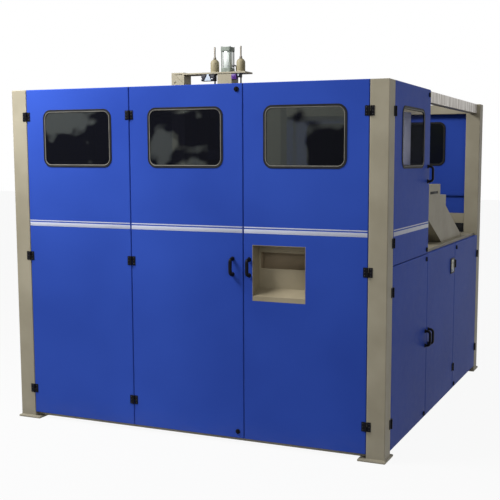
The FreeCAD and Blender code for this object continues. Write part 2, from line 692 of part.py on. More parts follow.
def front_doors():
    """The folding pair on the left post and the single door on the corner post, with what they carry."""
    trays = []
    for i, name in enumerate(("door_left", "door_middle", "door_right")):
        u0, u1 = cell(FRONT_SEAMS, i, i + 1)
        middle = (u0 + u1) / 2
        tray = pan(u0, u1, DOOR_BOTTOM, HEIGHT, (LOW_STIFFENER_Z, HIGH_STIFFENER_Z))
        trays.append(tray.cut(window_hole(middle, 0, SKIN, GASKET_LAP)))
        save_on("front", name + "_window", window(middle))
    for z in (TOP_LATCH_Z, FRONT_LOW_LATCH_Z):
        trays[1] = trays[1].cut(spindle_hole(FRONT_LATCH, z))
    u0, u1 = POCKET_LEFT, POCKET_LEFT + POCKET_WIDE
    trays[2] = trays[2].cut(box(u0, u1, 0, SKIN, POCKET_LOW, POCKET_LOW + POCKET_HIGH))
    save_on("front", "door_left", trays[:1])
    save_on("front", "door_middle", trays[1:2])
    save_on("front", "door_right", trays[2:])
    save_on("front", "outlet_pocket", [outlet_pocket()])
    post_leaves, left_leaves = hinges(FRONT_SEAMS[0], FRONT_HINGE_Z, 1)
    fold_stays, fold_swings = hinges(FRONT_SEAMS[1], FRONT_HINGE_Z, 1)
    corner_leaves, right_leaves = hinges(FRONT_SEAMS[3], FRONT_HINGE_Z, -1)
    middle_handle = bow_handle(FRONT_SEAMS[2] - WIDE_HANDLE_FROM_SEAM, FRONT_HANDLE_Z)
    right_handle = bow_handle(FRONT_SEAMS[2] + HANDLE_FROM_SEAM, FRONT_HANDLE_Z)
    save_on("front", "door_left_fittings", left_leaves + fold_stays)
    save_on("front", "door_middle_fittings", fold_swings + [middle_handle])
    save_on("front", "door_right_fittings", right_leaves + [right_handle])
    save_on("front", "front_top_latch", latch(FRONT_LATCH, TOP_LATCH_Z))
    save_on("front", "front_bottom_latch", latch(FRONT_LATCH, FRONT_LOW_LATCH_Z))
    return [on_wall(s, "front") for s in post_leaves + corner_leaves]


def side_doors():
    """The upper door over the front lower one on the corner post, and the folding pair behind it."""
    u0, u1 = cell(SIDE_SEAMS, 0, 1)
    middle = (u0 + u1) / 2
    upper = pan(u0, u1, SIDE_SEAM_Z + SEAM / 2, HEIGHT, (HIGH_STIFFENER_Z,))
    upper = upper.cut(window_hole(middle, 0, SKIN, GASKET_LAP))
    for z in (TOP_LATCH_Z, DECK_LATCH_Z):
        upper = upper.cut(spindle_hole(NEAR_LATCH, z))
    save_on("right", "side_upper_door", [upper])
    save_on("right", "side_upper_window", window(middle))
    lower = []
    for i in range(3):
        u0, u1 = cell(SIDE_SEAMS, i, i + 1)
        lower.append(pan(u0, u1, DOOR_BOTTOM, SIDE_SEAM_Z - SEAM / 2, (LOW_STIFFENER_Z,)))
    for z in (LOWER_TOP_LATCH_Z, LOWER_LOW_LATCH_Z):
        lower[0] = lower[0].cut(spindle_hole(NEAR_LATCH, z))
        lower[2] = lower[2].cut(spindle_hole(FAR_LATCH, z))
    lower[1] = lower[1].cut(meter_hole(METER_U, METER_Z))
    save_on("right", "side_front_door", lower[:1])
    save_on("right", "side_middle_door", lower[1:2])
    save_on("right", "side_rear_door", lower[2:])
    save_on("right", "panel_meter", [panel_meter(METER_U, METER_Z)])
    post_upper, upper_leaves = hinges(SIDE_SEAMS[0], UPPER_HINGE_Z, 1)
    post_lower, front_leaves = hinges(SIDE_SEAMS[0], LOWER_HINGE_Z, 1)
    post_rear, rear_leaves = hinges(SIDE_SEAMS[3], LOWER_HINGE_Z, -1)
    fold_stays, fold_swings = hinges(SIDE_SEAMS[2], LOWER_HINGE_Z, -1)
    upper_handle = bow_handle(SIDE_SEAMS[1] - UPPER_HANDLE_FROM_SEAM, UPPER_HANDLE_Z)
    near_handle = bow_handle(SIDE_SEAMS[1] - HANDLE_FROM_SEAM, LOWER_HANDLE_Z)
    far_handle = bow_handle(SIDE_SEAMS[1] + HANDLE_FROM_SEAM, LOWER_HANDLE_Z)
    save_on("right", "side_upper_fittings", upper_leaves + [upper_handle])
    save_on("right", "side_front_fittings", front_leaves + [near_handle])
    save_on("right", "side_middle_fittings", fold_swings + [far_handle])
    save_on("right", "side_rear_fittings", rear_leaves + fold_stays)
    save_on("right", "side_top_latch", latch(NEAR_LATCH, TOP_LATCH_Z))
    save_on("right", "side_deck_latch", latch(NEAR_LATCH, DECK_LATCH_Z))
    save_on("right", "side_front_top_latch", latch(NEAR_LATCH, LOWER_TOP_LATCH_Z))
    save_on("right", "side_front_low_latch", latch(NEAR_LATCH, LOWER_LOW_LATCH_Z))
    save_on("right", "side_rear_top_latch", latch(FAR_LATCH, LOWER_TOP_LATCH_Z))
    save_on("right", "side_rear_low_latch", latch(FAR_LATCH, LOWER_LOW_LATCH_Z))
    return [on_wall(s, "right") for s in post_upper + post_lower + post_rear]


def fixed_panels():
    """Plain bolted trays on the left wall, and windowed ones over the rear wall."""
    deep = BEAM_SET_BACK
    lower_top = SIDE_SEAM_Z - SEAM / 2
    left, rear, windows = [], [], []
    for i in range(3):
        u0, u1 = cell(SIDE_SEAMS, i, i + 1)
        left.append(sheet_tray(u0, u1, DOOR_BOTTOM, lower_top, deep))
        left.append(sheet_tray(u0, u1, SIDE_SEAM_Z + SEAM / 2, HEIGHT, deep))
        u0, u1 = cell(FRONT_SEAMS, i, i + 1)
        middle = (u0 + u1) / 2 + (1 - i) * REAR_WINDOW_SHIFT
        upper = sheet_tray(u0, u1, REAR_SEAM_Z + SEAM / 2, HEIGHT, deep)
        rear.append(upper.cut(window_hole(middle, 0, SKIN, GASKET_LAP)))
        rear.append(sheet_tray(u0, u1, REAR_STRIP_LOW, REAR_SEAM_Z - SEAM / 2, deep))
        rear.append(sheet_tray(u0, u1, DOOR_BOTTOM, lower_top, deep))
        windows += window(middle)
    save_on("left", "left_panels", left)
    save_on("rear", "rear_panels", rear)
    save_on("rear", "rear_windows", windows)


# ---------------------------------------------------------------- side chute and console

def chute_line(y, offset):
    """Height of the chute's upper edge at y, or of a line below it by offset square to the slope."""
    return DECK_TOP + (CHUTE_FOOT_END - y) * CHUTE_RISE - offset / CHUTE_SQUARE


def chute_foot(offset):
    """Where a line below the chute's upper edge comes down to the deck."""
    return CHUTE_FOOT_END - offset / CHUTE_SQUARE / CHUTE_RISE


def chute_mouth():
    """Where the inside of the chute meets the deck, front and rear."""
    return chute_foot(CHUTE_DEEP - CHUTE_SHEET), chute_foot(CHUTE_SHEET)


def chute_outline(x, inset):
    """The cheek's outline: sloping edges down to the deck and a stepped top for the hopper."""
    front, end, top = CHUTE_FRONT + inset, CHUTE_STEP_END - inset, CHUTE_STEP_TOP
    low = CHUTE_DEEP - inset
    return [(x, chute_foot(low), DECK_TOP), (x, front, chute_line(front, low)), (x, front, top),
            (x, end, top), (x, end, chute_line(end, inset)), (x, chute_foot(inset), DECK_TOP)]


def side_chute():
    """A welded sheet duct that runs down to the rear and through the deck, open at the top."""
    t = CHUTE_SHEET
    body = prism(chute_outline(CHUTE_LEFT, 0), V(CHUTE_WIDE, 0, 0))
    body = body.cut(prism(chute_outline(CHUTE_LEFT + t, t), V(CHUTE_WIDE - 2 * t, 0, 0)))
    top = CHUTE_STEP_TOP
    cover = box(CHUTE_LEFT, CHUTE_RIGHT, HOPPER_END - t, CHUTE_STEP_END, top - t, top)
    return inside(fuse([body, cover]))


def chute_hopper():
    """The open box on top of the chute, with the slot along its outer side."""
    t = CHUTE_SHEET
    low = CHUTE_STEP_TOP
    shell = tube_box(CHUTE_LEFT, CHUTE_RIGHT, CHUTE_FRONT, HOPPER_END, low, low + HOPPER_HIGH, t, "z")
    low += HOPPER_SLOT_LOW
    slot = box(CHUTE_RIGHT - t, CHUTE_RIGHT, CHUTE_FRONT + HOPPER_SLOT_START, HOPPER_END - HOPPER_SLOT_STOP,
               low, low + HOPPER_SLOT_HIGH)
    return inside(shell.cut(slot))


def console():
    """The operator box on its post: a housing with a sunk screen, and the post's foot on the deck."""
    w, t = CONSOLE_WIDE / 2, CONSOLE_THICK / 2
    housing = box(-w, w, -t, t, CONSOLE_LOW, CONSOLE_LOW + CONSOLE_HIGH)
    upright = [e for e in housing.Edges if e.BoundBox.ZLength > 1]
    housing = housing.makeChamfer(CONSOLE_EDGE, upright)
    low = CONSOLE_LOW + SCREEN_UP
    screen = box(SCREEN_LEFT, SCREEN_LEFT + SCREEN_WIDE, -t, -t + SCREEN_SUNK, low, low + SCREEN_HIGH)
    half = CONSOLE_POST / 2
    stem = box(-half, half, -half, half, DECK_TOP, CONSOLE_LOW)
    half = CONSOLE_BASE / 2
    foot = box(-half, half, -half, half, DECK_TOP, DECK_TOP + CONSOLE_BASE_THICK)
    whole = fuse([housing.cut(screen), stem, foot])
    turn = FreeCAD.Rotation(V(0, 0, 1), CONSOLE_TURN)
    whole.Placement = FreeCAD.Placement(V(CONSOLE_X, CONSOLE_Y, 0), turn)
    return inside(whole)


# ---------------------------------------------------------------- blow station

def cavity(x):
    """One bottle's space: body, shoulder and neck, with flats all round."""
    low, n, y = CAVITY_LOW, CAVITY_SIDES, STATION_Y
    body_top = low + BOTTLE_BODY
    neck_low = body_top + BOTTLE_SHOULDER
    shoulder = tapered(even_ring(x, y, body_top, 2 * BOTTLE_R, "z", n),
                       even_ring(x, y, neck_low, 2 * NECK_R, "z", n))
    return fuse([even_bar(x, y, low, 2 * BOTTLE_R, BOTTLE_BODY, "z", n), shoulder,
                 even_bar(x, y, neck_low, 2 * NECK_R, NECK_LONG, "z", n)])


def mould_half(way):
    """Half of the two-cavity mould. way is -1 in front of the parting plane and +1 behind it."""
    y0, y1 = sorted((STATION_Y + way * PARTING, STATION_Y + way * PLATEN_FACE))
    w, h = MOULD_WIDE / 2, MOULD_HIGH / 2
    half = box(STATION_X - w, STATION_X + w, y0, y1, CLAMP_Z - h, CLAMP_Z + h)
    for x in CAVITIES:
        half = half.cut(cavity(x))
    return inside(half)


def tie_places():
    return STATION_X - TIE_BAR_X, STATION_X + TIE_BAR_X


def platen(way):
    """The plate that carries a mould half, with the guide blocks that run on the two tie bars."""
    y0, y1 = sorted((STATION_Y + way * PLATEN_FACE, STATION_Y + way * PLATEN_BACK))
    w, h = PLATEN_WIDE / 2, PLATEN_HIGH / 2
    pieces = [box(STATION_X - w, STATION_X + w, y0, y1, CLAMP_Z - h, CLAMP_Z + h)]
    g0, g1 = sorted((STATION_Y + way * (PARTING + GUIDE_CLEAR), STATION_Y + way * PLATEN_FACE))
    g = GUIDE_HALF
    z = TIE_BAR_Z
    pieces += [box(x - g, x + g, g0, g1, z - g, z + g) for x in tie_places()]
    whole = fuse(pieces)
    start = min(y0, g0)
    for x in tie_places():
        whole = whole.cut(rod(x, start, z, TIE_BAR_R + RUNNING, max(y1, g1) - start, "y"))
    return inside(whole)


def clamp_frame():
    """The two upright end plates, each on a foot with two ribs behind it."""
    plates = []
    w = PLATEN_WIDE / 2
    top = CLAMP_Z + PLATEN_HIGH / 2
    foot_top = DECK_TOP + END_FOOT_THICK
    for way in (-1, 1):
        back = STATION_Y + way * END_BACK
        y0, y1 = sorted((STATION_Y + way * END_FACE, back))
        f0, f1 = sorted((STATION_Y + way * (END_FACE - END_FOOT_IN), back + way * END_FOOT_OUT))
        pieces = [box(STATION_X - w, STATION_X + w, y0, y1, DECK_TOP, top),
                  box(STATION_X - w, STATION_X + w, f0, f1, DECK_TOP, foot_top)]
        for side in (-1, 1):
            x = STATION_X + side * END_RIB_X - END_RIB_THICK / 2
            corners = [(x, back, foot_top), (x, back + way * END_FOOT_OUT, foot_top), (x, back, top)]
            pieces.append(prism(corners, V(END_RIB_THICK, 0, 0)))
        plate = fuse(pieces)
        for x in tie_places():
            plate = plate.cut(even_bar(x, y0, TIE_BAR_Z, 2 * TIE_BAR_R, END_PLATE_THICK, "y"))
        across = 2 * CLAMP_ROD_R + ROD_CLEAR
        plates.append(inside(plate.cut(even_bar(STATION_X, y0, CLAMP_Z, across, END_PLATE_THICK, "y"))))
    return plates


def tie_bars():
    """Two bars between the end plates, below the moulds, each with a nut at both ends."""
    bars = []
    reach = END_BACK + TIE_NUT_THICK
    for x in tie_places():
        pieces = [rod(x, STATION_Y - reach, TIE_BAR_Z, TIE_BAR_R, 2 * reach, "y")]
        for y in (STATION_Y - reach, STATION_Y + END_BACK):
            pieces.append(even_bar(x, y, TIE_BAR_Z, TIE_NUT, TIE_NUT_THICK, "y"))
        bars.append(inside(fuse(pieces)))
    return bars


def clamp_cylinder(way):
    """A square-bodied ram cylinder on the outer side of an end plate, bored from the plate's side."""
    x, y, z = STATION_X, STATION_Y + way * END_BACK, CLAMP_Z
    along = "y" if way > 0 else "-y"
    half = CLAMP_BODY / 2
    y0, y1 = sorted((y, y + way * CLAMP_CYL_LONG))
    body = box(x - half, x + half, y0, y1, z - half, z + half)
    body = body.makeChamfer(CLAMP_BODY_EDGE, [e for e in body.Edges if e.BoundBox.YLength > 1])
    return inside(body.cut(rod(x, y, z, CLAMP_ROD_R + RUNNING, CLAMP_CYL_LONG - CLAMP_WALL, along)))


def clamp_rod(way):
    """The ram that pushes a platen. The bore leaves room behind it for the whole travel."""
    start = STATION_Y + way * PLATEN_BACK
    reach = END_BACK + CLAMP_CYL_LONG - CLAMP_WALL - MOULD_TRAVEL - RAM_END_GAP - PLATEN_BACK
    return inside(rod(STATION_X, start, CLAMP_Z, CLAMP_ROD_R, reach, "y" if way > 0 else "-y"))


def column(x, top):
    """A square tube on a foot plate, from the deck up."""
    y0, y1 = STATION_Y - GANTRY_POST / 2, STATION_Y + GANTRY_POST / 2
    x0, x1 = x - GANTRY_POST / 2, x + GANTRY_POST / 2
    foot_top = DECK_TOP + GANTRY_FOOT_THICK
    t, out = GANTRY_WALL, GANTRY_FOOT_OUT
    tube = box(x0, x1, y0, y1, foot_top, top).cut(box(x0 + t, x1 - t, y0 + t, y1 - t, foot_top, top - t))
    return fuse([tube, box(x0 - out, x1 + out, y0 - out, y1 + out, DECK_TOP, foot_top)])


def gantry():
    """Two columns on the deck and the slotted bridge between them."""
    half = GANTRY_POST / 2
    left = column(GANTRY_LEFT, HEIGHT + GANTRY_ABOVE_TOP)
    left = left.cut(bracket_windows(GANTRY_LEFT, STATION_Y - half, HEIGHT + GANTRY_ABOVE_TOP))
    right = column(GANTRY_RIGHT, HEIGHT + GANTRY_RIGHT_ABOVE_TOP)
    deep = BRIDGE_DEEP / 2
    bridge = box(GANTRY_LEFT + half, GANTRY_RIGHT - half, STATION_Y - deep, STATION_Y + deep,
                 BRIDGE_LOW, BRIDGE_TOP)
    slot = BRIDGE_SLOT / 2
    bridge = bridge.cut(box(CAVITIES[0] - slot, CAVITIES[1] + slot, STATION_Y - slot, STATION_Y + slot,
                            BRIDGE_LOW, BRIDGE_TOP))
    return inside(fuse([left, right, bridge]))


def bracket_windows(x, y0, top):
    """The cut-out that leaves a slanting rib in the head of the left column, and a fixing hole."""
    edge = GANTRY_POST / 2 - BRACKET_EDGE
    high = top - BRACKET_EDGE
    low = high - 2 * edge
    corners = [(x - edge + BRACKET_RIB, y0, high), (x + edge, y0, high), (x + edge, y0, low + BRACKET_RIB)]
    hole = even_bar(x - edge / 2, y0, low + edge / 2, BRACKET_HOLE, GANTRY_WALL, "y")
    return prism(corners, V(0, GANTRY_WALL, 0)).fuse(hole)


def roof_plate():
    """The thin plate above the doors, and the square tube that stands under the blow cylinder."""
    x, y = STATION_X, STATION_Y
    half = ROOF_PLATE_DEEP / 2
    left = GANTRY_LEFT + GANTRY_POST / 2
    plate = box(left, ROOF_PLATE_RIGHT, y - half, y + half, ROOF_PLATE_LOW, ROOF_PLATE_TOP)
    half = ROOF_TUBE / 2
    tube = tube_box(x - half, x + half, y - half, y + half, BRIDGE_TOP, ROOF_PLATE_LOW, ROOF_TUBE_WALL, "z")
    whole = fuse([plate, tube])
    half = BLOW_ROD_R + ROD_CLEAR
    for middle in (CAVITIES[0], x, CAVITIES[1]):
        hole = box(middle - half, middle + half, y - half, y + half, ROOF_PLATE_LOW, ROOF_PLATE_TOP)
        whole = whole.cut(hole)
    return inside(whole)


def blow_cylinder():
    """A tie-rod cylinder: square end caps, a round tube, four rods, a side port and the rod's bore."""
    z0, z1 = ROOF_PLATE_TOP, BLOW_TOP
    half = BLOW_CAP / 2
    x, y = STATION_X, STATION_Y
    pieces = []
    for low in (z0, z1 - BLOW_CAP_HIGH):
        cap = box(x - half, x + half, y - half, y + half, low, low + BLOW_CAP_HIGH)
        pieces.append(cap.makeChamfer(BLOW_CAP_EDGE, [e for e in cap.Edges if e.BoundBox.ZLength > 1]))
    low, long = z0 + BLOW_CAP_HIGH, z1 - z0 - 2 * BLOW_CAP_HIGH
    pieces.append(rod(x, y, low, BLOW_TUBE_R, long))
    reach = half - BLOW_TIE_INSET
    for sx in (-1, 1):
        pieces += [even_bar(x + sx * reach, y + sy * reach, low, BLOW_TIE, long) for sy in (-1, 1)]
    pieces.append(even_bar(x, y, BLOW_PORT_UP, BLOW_PORT, half + BLOW_PORT_OUT, "x"))
    return inside(fuse(pieces).cut(rod(x, y, z0, BLOW_ROD_R + RUNNING, z1 - z0 - BLOW_END_WALL)))


def blow_rod():
    """The rod that presses the blow head onto the mould."""
    low = BLOW_HEAD_LOW + BLOW_HEAD_HIGH
    long = BLOW_TOP - BLOW_END_WALL - AIR - low
    return inside(rod(STATION_X, STATION_Y, low, BLOW_ROD_R, long))


def blow_head():
    """The block with two nozzles that seal on the preform necks."""
    half = CAVITY_PITCH / 2 + BLOW_HEAD_PAST
    deep = BLOW_HEAD_DEEP / 2
    low = BLOW_HEAD_LOW - NOZZLE_LONG
    pieces = [box(STATION_X - half, STATION_X + half, STATION_Y - deep, STATION_Y + deep,
                  BLOW_HEAD_LOW, BLOW_HEAD_LOW + BLOW_HEAD_HIGH)]
    pieces += [rod(x, STATION_Y, low, NOZZLE_R, NOZZLE_LONG) for x in CAVITIES]
    block = fuse(pieces)
    across = STRETCH_ROD + ROD_CLEAR
    for x in CAVITIES:
        block = block.cut(even_bar(x, STATION_Y, low, across, NOZZLE_LONG + BLOW_HEAD_HIGH))
    return inside(block)


def stretch_cylinders():
    """Two shouldered bodies on the roof plate, bored for the stretch rods."""
    body_top = ROOF_PLATE_TOP + STRETCH_BODY_HIGH
    neck = body_top + STRETCH_SHOULDER_HIGH
    high = STRETCH_BODY_HIGH + STRETCH_SHOULDER_HIGH + STRETCH_NECK_HIGH
    n = STRETCH_SIDES
    bodies = []
    for x in CAVITIES:
        y = STATION_Y
        shoulder = tapered(even_ring(x, y, body_top, STRETCH_BODY, "z", n),
                           even_ring(x, y, neck, STRETCH_NECK, "z", n))
        body = fuse([even_bar(x, y, ROOF_PLATE_TOP, STRETCH_BODY, STRETCH_BODY_HIGH, "z", n),
                     shoulder, even_bar(x, y, neck, STRETCH_NECK, STRETCH_NECK_HIGH, "z", n)])
        bodies.append(inside(body.cut(even_bar(x, y, ROOF_PLATE_TOP, STRETCH_ROD + 2 * RUNNING, high))))
    return bodies


def stretch_rods():
    """The rods that stretch the preforms, from their tips at rest to above the cylinder."""
    long = BLOW_TOP - STRETCH_TIP
    return [inside(even_bar(x, STATION_Y, STRETCH_TIP, STRETCH_ROD, long)) for x in CAVITIES]


def stretch_crossbar():
    """The bar that ties both stretch rods together below the bridge."""
    half = CAVITY_PITCH / 2 + CROSSBAR_PAST
    deep = CROSSBAR_DEEP / 2
    bar = box(STATION_X - half, STATION_X + half, STATION_Y - deep, STATION_Y + deep,
              CROSSBAR_LOW, CROSSBAR_TOP)
    across = 2 * BLOW_ROD_R + ROD_CLEAR
    bar = bar.cut(even_bar(STATION_X, STATION_Y, CROSSBAR_LOW, across, CROSSBAR_THICK))
    for x in CAVITIES:
        bar = bar.cut(even_bar(x, STATION_Y, CROSSBAR_LOW, STRETCH_ROD, CROSSBAR_THICK))
    return inside(bar)


def valve_blocks():
    """The air valves hung under the front edge of the roof plate."""
    y0 = STATION_Y - ROOF_PLATE_DEEP / 2
    top = ROOF_PLATE_LOW
    right = STATION_X + ROOF_TUBE / 2 + AIR
    spans = ((CAVITIES[0] - VALVE_LONG * 3 / 4, VALVE_LONG, VALVE_HIGH),
             (right, MID_VALVE_LONG, MID_VALVE_HIGH),
             (right + MID_VALVE_LONG + GANTRY_WALL, END_VALVE_LONG, END_VALVE_HIGH))
    return [inside(box(x, x + long, y0, y0 + VALVE_DEEP, top - high, top)) for x, long, high in spans]


def cylinder_hose():
    """The short air hose from the cylinder's side port down to the roof plate."""
    y, z, r = STATION_Y, BLOW_PORT_UP, HOSE_BEND
    start = STATION_X + BLOW_CAP / 2 + BLOW_PORT_OUT
    turn = r * math.sqrt(0.5)
    line = [(start, z), (start + r - turn / 2, z), (start + r, z - r + turn / 2),
            (start + r, ROOF_PLATE_TOP)]
    path = Part.makePolygon([V(x, y, h) for x, h in line])
    return inside(path.makePipeShell([even_wire(start, y, z, HOSE, "x", 8)], True, True, 1))


# ---------------------------------------------------------------- oven and cabinet

def oven():
    """The heating tunnel: two lined walls on a base, standing on feet, open along the top."""
    x0, x1 = OVEN_LEFT, OVEN_LEFT + OVEN_LONG
    y0, y1 = OVEN_FRONT, OVEN_FRONT + OVEN_DEEP
    low = DECK_TOP + OVEN_FOOT_HIGH
    high = low + OVEN_HIGH
    t, w, inset = OVEN_WALL, OVEN_FOOT_WIDE, OVEN_FOOT_INSET
    body = box(x0, x1, y0, y1, low, high).cut(box(x0, x1, y0 + t, y1 - t, low + t, high))
    feet = [box(x, x + w, y0 + inset, y1 - inset, DECK_TOP, low) for x in (x0 + w, x1 - 2 * w)]
    return inside(fuse([body] + feet))


def oven_lamps():
    """A rack of lamp tubes along the rear wall of the tunnel, each held by blocks at its ends."""
    low = DECK_TOP + OVEN_FOOT_HIGH + OVEN_WALL
    high = low + OVEN_HIGH - OVEN_WALL
    pitch = (high - low - 2 * LAMP_FROM_FLOOR) / (LAMP_COUNT - 1)
    wall = OVEN_FRONT + OVEN_DEEP - OVEN_WALL
    y = wall - LAMP_FROM_WALL
    x0, x1 = OVEN_LEFT + LAMP_INSET, OVEN_LEFT + OVEN_LONG - LAMP_INSET
    z = low + LAMP_FROM_FLOOR
    pieces = [even_bar(x0, y, z + k * pitch, LAMP, x1 - x0, "x") for k in range(LAMP_COUNT)]
    for x in (x0, x1 - LAMP_BLOCK):
        pieces.append(box(x, x + LAMP_BLOCK, y - LAMP_BLOCK / 2, wall, low, high))
    return inside(fuse(pieces))


def control_cabinet():
    """The closed electrical box under the deck, on two rails across the base beams."""
    x0, x1 = CABINET_LEFT, CABINET_LEFT + CABINET_WIDE
    y0, y1 = CABINET_FRONT, CABINET_FRONT + CABINET_DEEP
    base = BASE_BEAM_LOW + BASE_BEAM_HIGH
    low, high = base + CABINET_RAIL, DECK_TOP - CABINET_BELOW_DECK
    t, out = CABINET_WALL, CABINET_DOOR_THICK
    body = box(x0, x1, y0, y1, low, high).cut(box(x0 + t, x1 - t, y0, y1 - t, low + t, high - t))
    door = box(x0, x1, y0 - out, y0, low, high)
    door = door.cut(box(x0 + t, x1 - t, y0 - out + t, y0, low + t, high - t))
    reach, rail = BEAM_SET_BACK, CABINET_RAIL
    starts = (y0 + CABINET_RAIL_INSET, y1 - CABINET_RAIL_INSET - rail)
    rails = [tube_box(reach, WIDTH - reach, y, y + rail, base, low, BEAM_WALL, "x") for y in starts]
    return [inside(s) for s in [body, door] + rails]


# ---------------------------------------------------------------- build

os.makedirs("parts", exist_ok=True)
save("posts", [inside(post(left, front)) for left in (True, False) for front in (True, False)])
save("frame_beams", beams())
save("deck_plate", [deck_plate()])
post_leaves = front_doors() + side_doors()
save("post_hinge_leaves", post_leaves)
fixed_panels()
save("side_chute", [side_chute()])
save("chute_hopper", [chute_hopper()])
save("console", [console()])
save("clamp_frame", clamp_frame())
save("tie_bars", tie_bars())
save("clamp_cylinders", [clamp_cylinder(-1), clamp_cylinder(1)])
for side, way in (("front", -1), ("rear", 1)):
    save(side + "_platen", [platen(way)])
    save(side + "_mould_half", [mould_half(way)])
    save(side + "_clamp_rod", [clamp_rod(way)])
save("stretch_gantry", [gantry()])
save("roof_plate", [roof_plate()])
save("blow_cylinder", [blow_cylinder()])
save("blow_piston_rod", [blow_rod()])
save("blow_head", [blow_head()])
save("stretch_cylinders", stretch_cylinders())
save("stretch_rods", stretch_rods())
save("stretch_crossbar", [stretch_crossbar()])
save("valve_blocks", valve_blocks())
save("cylinder_hose", [cylinder_hose()])
save("oven_housing", [oven()])
save("oven_lamps", [oven_lamps()])
save("control_cabinet", control_cabinet())
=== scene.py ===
"""Looks of the stretch blow moulding machine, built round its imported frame. Metres, Z up."""
import bmesh
import bpy
import json
import math
from mathutils import Matrix, Vector

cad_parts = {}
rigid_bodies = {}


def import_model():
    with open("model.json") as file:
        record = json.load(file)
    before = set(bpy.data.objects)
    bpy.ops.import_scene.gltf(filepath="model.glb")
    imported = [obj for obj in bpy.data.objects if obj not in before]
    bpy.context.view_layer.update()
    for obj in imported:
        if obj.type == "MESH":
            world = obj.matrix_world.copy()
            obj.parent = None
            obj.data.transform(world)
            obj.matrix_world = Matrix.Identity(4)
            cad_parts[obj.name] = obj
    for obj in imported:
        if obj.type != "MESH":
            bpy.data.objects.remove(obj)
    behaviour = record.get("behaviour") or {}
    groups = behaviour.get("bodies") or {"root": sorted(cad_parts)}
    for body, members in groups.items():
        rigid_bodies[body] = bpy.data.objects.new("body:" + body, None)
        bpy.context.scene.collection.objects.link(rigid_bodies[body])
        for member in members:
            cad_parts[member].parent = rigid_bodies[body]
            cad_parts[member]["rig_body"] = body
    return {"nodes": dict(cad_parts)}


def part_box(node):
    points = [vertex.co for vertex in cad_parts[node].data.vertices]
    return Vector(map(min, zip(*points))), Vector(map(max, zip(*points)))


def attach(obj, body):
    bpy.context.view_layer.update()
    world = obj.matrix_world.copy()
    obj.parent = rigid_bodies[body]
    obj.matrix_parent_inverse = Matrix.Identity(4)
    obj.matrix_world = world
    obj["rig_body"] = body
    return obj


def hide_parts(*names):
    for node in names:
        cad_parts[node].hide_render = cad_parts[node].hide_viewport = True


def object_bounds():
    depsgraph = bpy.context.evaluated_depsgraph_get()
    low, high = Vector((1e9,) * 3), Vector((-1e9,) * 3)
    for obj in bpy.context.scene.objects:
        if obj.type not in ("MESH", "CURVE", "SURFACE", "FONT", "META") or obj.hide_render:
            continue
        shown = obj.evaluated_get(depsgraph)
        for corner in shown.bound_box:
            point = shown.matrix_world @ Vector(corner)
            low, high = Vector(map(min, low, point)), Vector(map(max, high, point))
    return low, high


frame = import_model()
cad_low, cad_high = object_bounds()

MM = 0.001
SMALL_ROUND = 20
CORNER_STEPS = 8
SAME_POINT = 1e-6
SMOOTH_BELOW = math.radians(35)
UP = Vector((0, 0, 1))

# ---- where the photograph was taken from ----
CAMERA_PLACE = Vector((2.4157, -5.5054, 1.5298))
CAMERA_YAW = math.radians(22.616)
CAMERA_PITCH = math.radians(-6.752)
CAMERA_ROLL = math.radians(0.111)
CAMERA_LENS = 66.05
CAMERA_SHIFT = (-0.08, 0.036)

# ---- tones as linear colours: the main one, and the one that it mottles into ----
BLUE = (0.031, 0.076, 0.400), (0.019, 0.048, 0.280)
CREAM = (0.320, 0.290, 0.215), (0.220, 0.196, 0.138)
BRUSHED = (0.880, 0.850, 0.810), (0.330, 0.290, 0.240)
PALE_GREY = (0.520, 0.520, 0.560), (0.400, 0.400, 0.430)
POCKET = (0.290, 0.250, 0.170), (0.200, 0.170, 0.112)
HOOD = (0.300, 0.240, 0.160), (0.210, 0.168, 0.108)
STRIPE_WHITE = (0.450, 0.470, 0.560), (0.360, 0.380, 0.470)
BLACK_ENAMEL = (0.005, 0.005, 0.007), (0.012, 0.012, 0.015)
RUBBER = (0.006, 0.006, 0.007), (0.013, 0.013, 0.013)
# light grey-beige of the gasket's strip: partly a real strip, partly painted highlight along the inner lip
LOCKING_STRIP_PAINTED_HIGHLIGHT = (0.180, 0.172, 0.150), (0.100, 0.095, 0.082)
SCREW = (0.030, 0.030, 0.033), (0.060, 0.060, 0.060)
STEEL = (0.300, 0.300, 0.310), (0.230, 0.230, 0.240)
MOULD_METAL = (0.560, 0.570, 0.580), (0.440, 0.450, 0.460)
CHROME = (0.600, 0.610, 0.620), (0.520, 0.530, 0.540)
BARREL = (0.640, 0.680, 0.650), (0.440, 0.480, 0.460)
CAP_GREEN = (0.200, 0.230, 0.195), (0.110, 0.130, 0.110)
ROD_BROWN = (0.120, 0.105, 0.080), (0.070, 0.060, 0.048)
TAN = (0.300, 0.265, 0.165), (0.180, 0.150, 0.085)
VALVE_BLACK = (0.010, 0.010, 0.016), (0.022, 0.022, 0.030)
VALVE_PURPLE = (0.075, 0.018, 0.200), (0.040, 0.010, 0.120)
VALVE_LIGHT = (0.420, 0.480, 0.560), (0.300, 0.350, 0.430)
HOSE = (0.010, 0.010, 0.012), (0.022, 0.022, 0.024)
QUARTZ = (0.700, 0.660, 0.600), (0.500, 0.450, 0.380)
CERAMIC = (0.550, 0.530, 0.480), (0.420, 0.400, 0.350)
METER_BLACK = (0.008, 0.008, 0.010), (0.018, 0.018, 0.020)
METER_CREAM = (0.660, 0.660, 0.580), (0.520, 0.520, 0.450)
SCREEN = (0.006, 0.007, 0.012), (0.014, 0.016, 0.026)
BLUE_GREY = (0.080, 0.090, 0.200), (0.055, 0.062, 0.150)
KEY_GREY = (0.220, 0.220, 0.240), (0.150, 0.150, 0.170)
# front glass: the grey-green tone is painted reflection, the near-black tone is dark tint and partly painted
# shade over the inside behind it
SMOKED_PAINTED_SHADE_AND_REFLECTIONS = (0.110, 0.122, 0.116), (0.006, 0.007, 0.014)
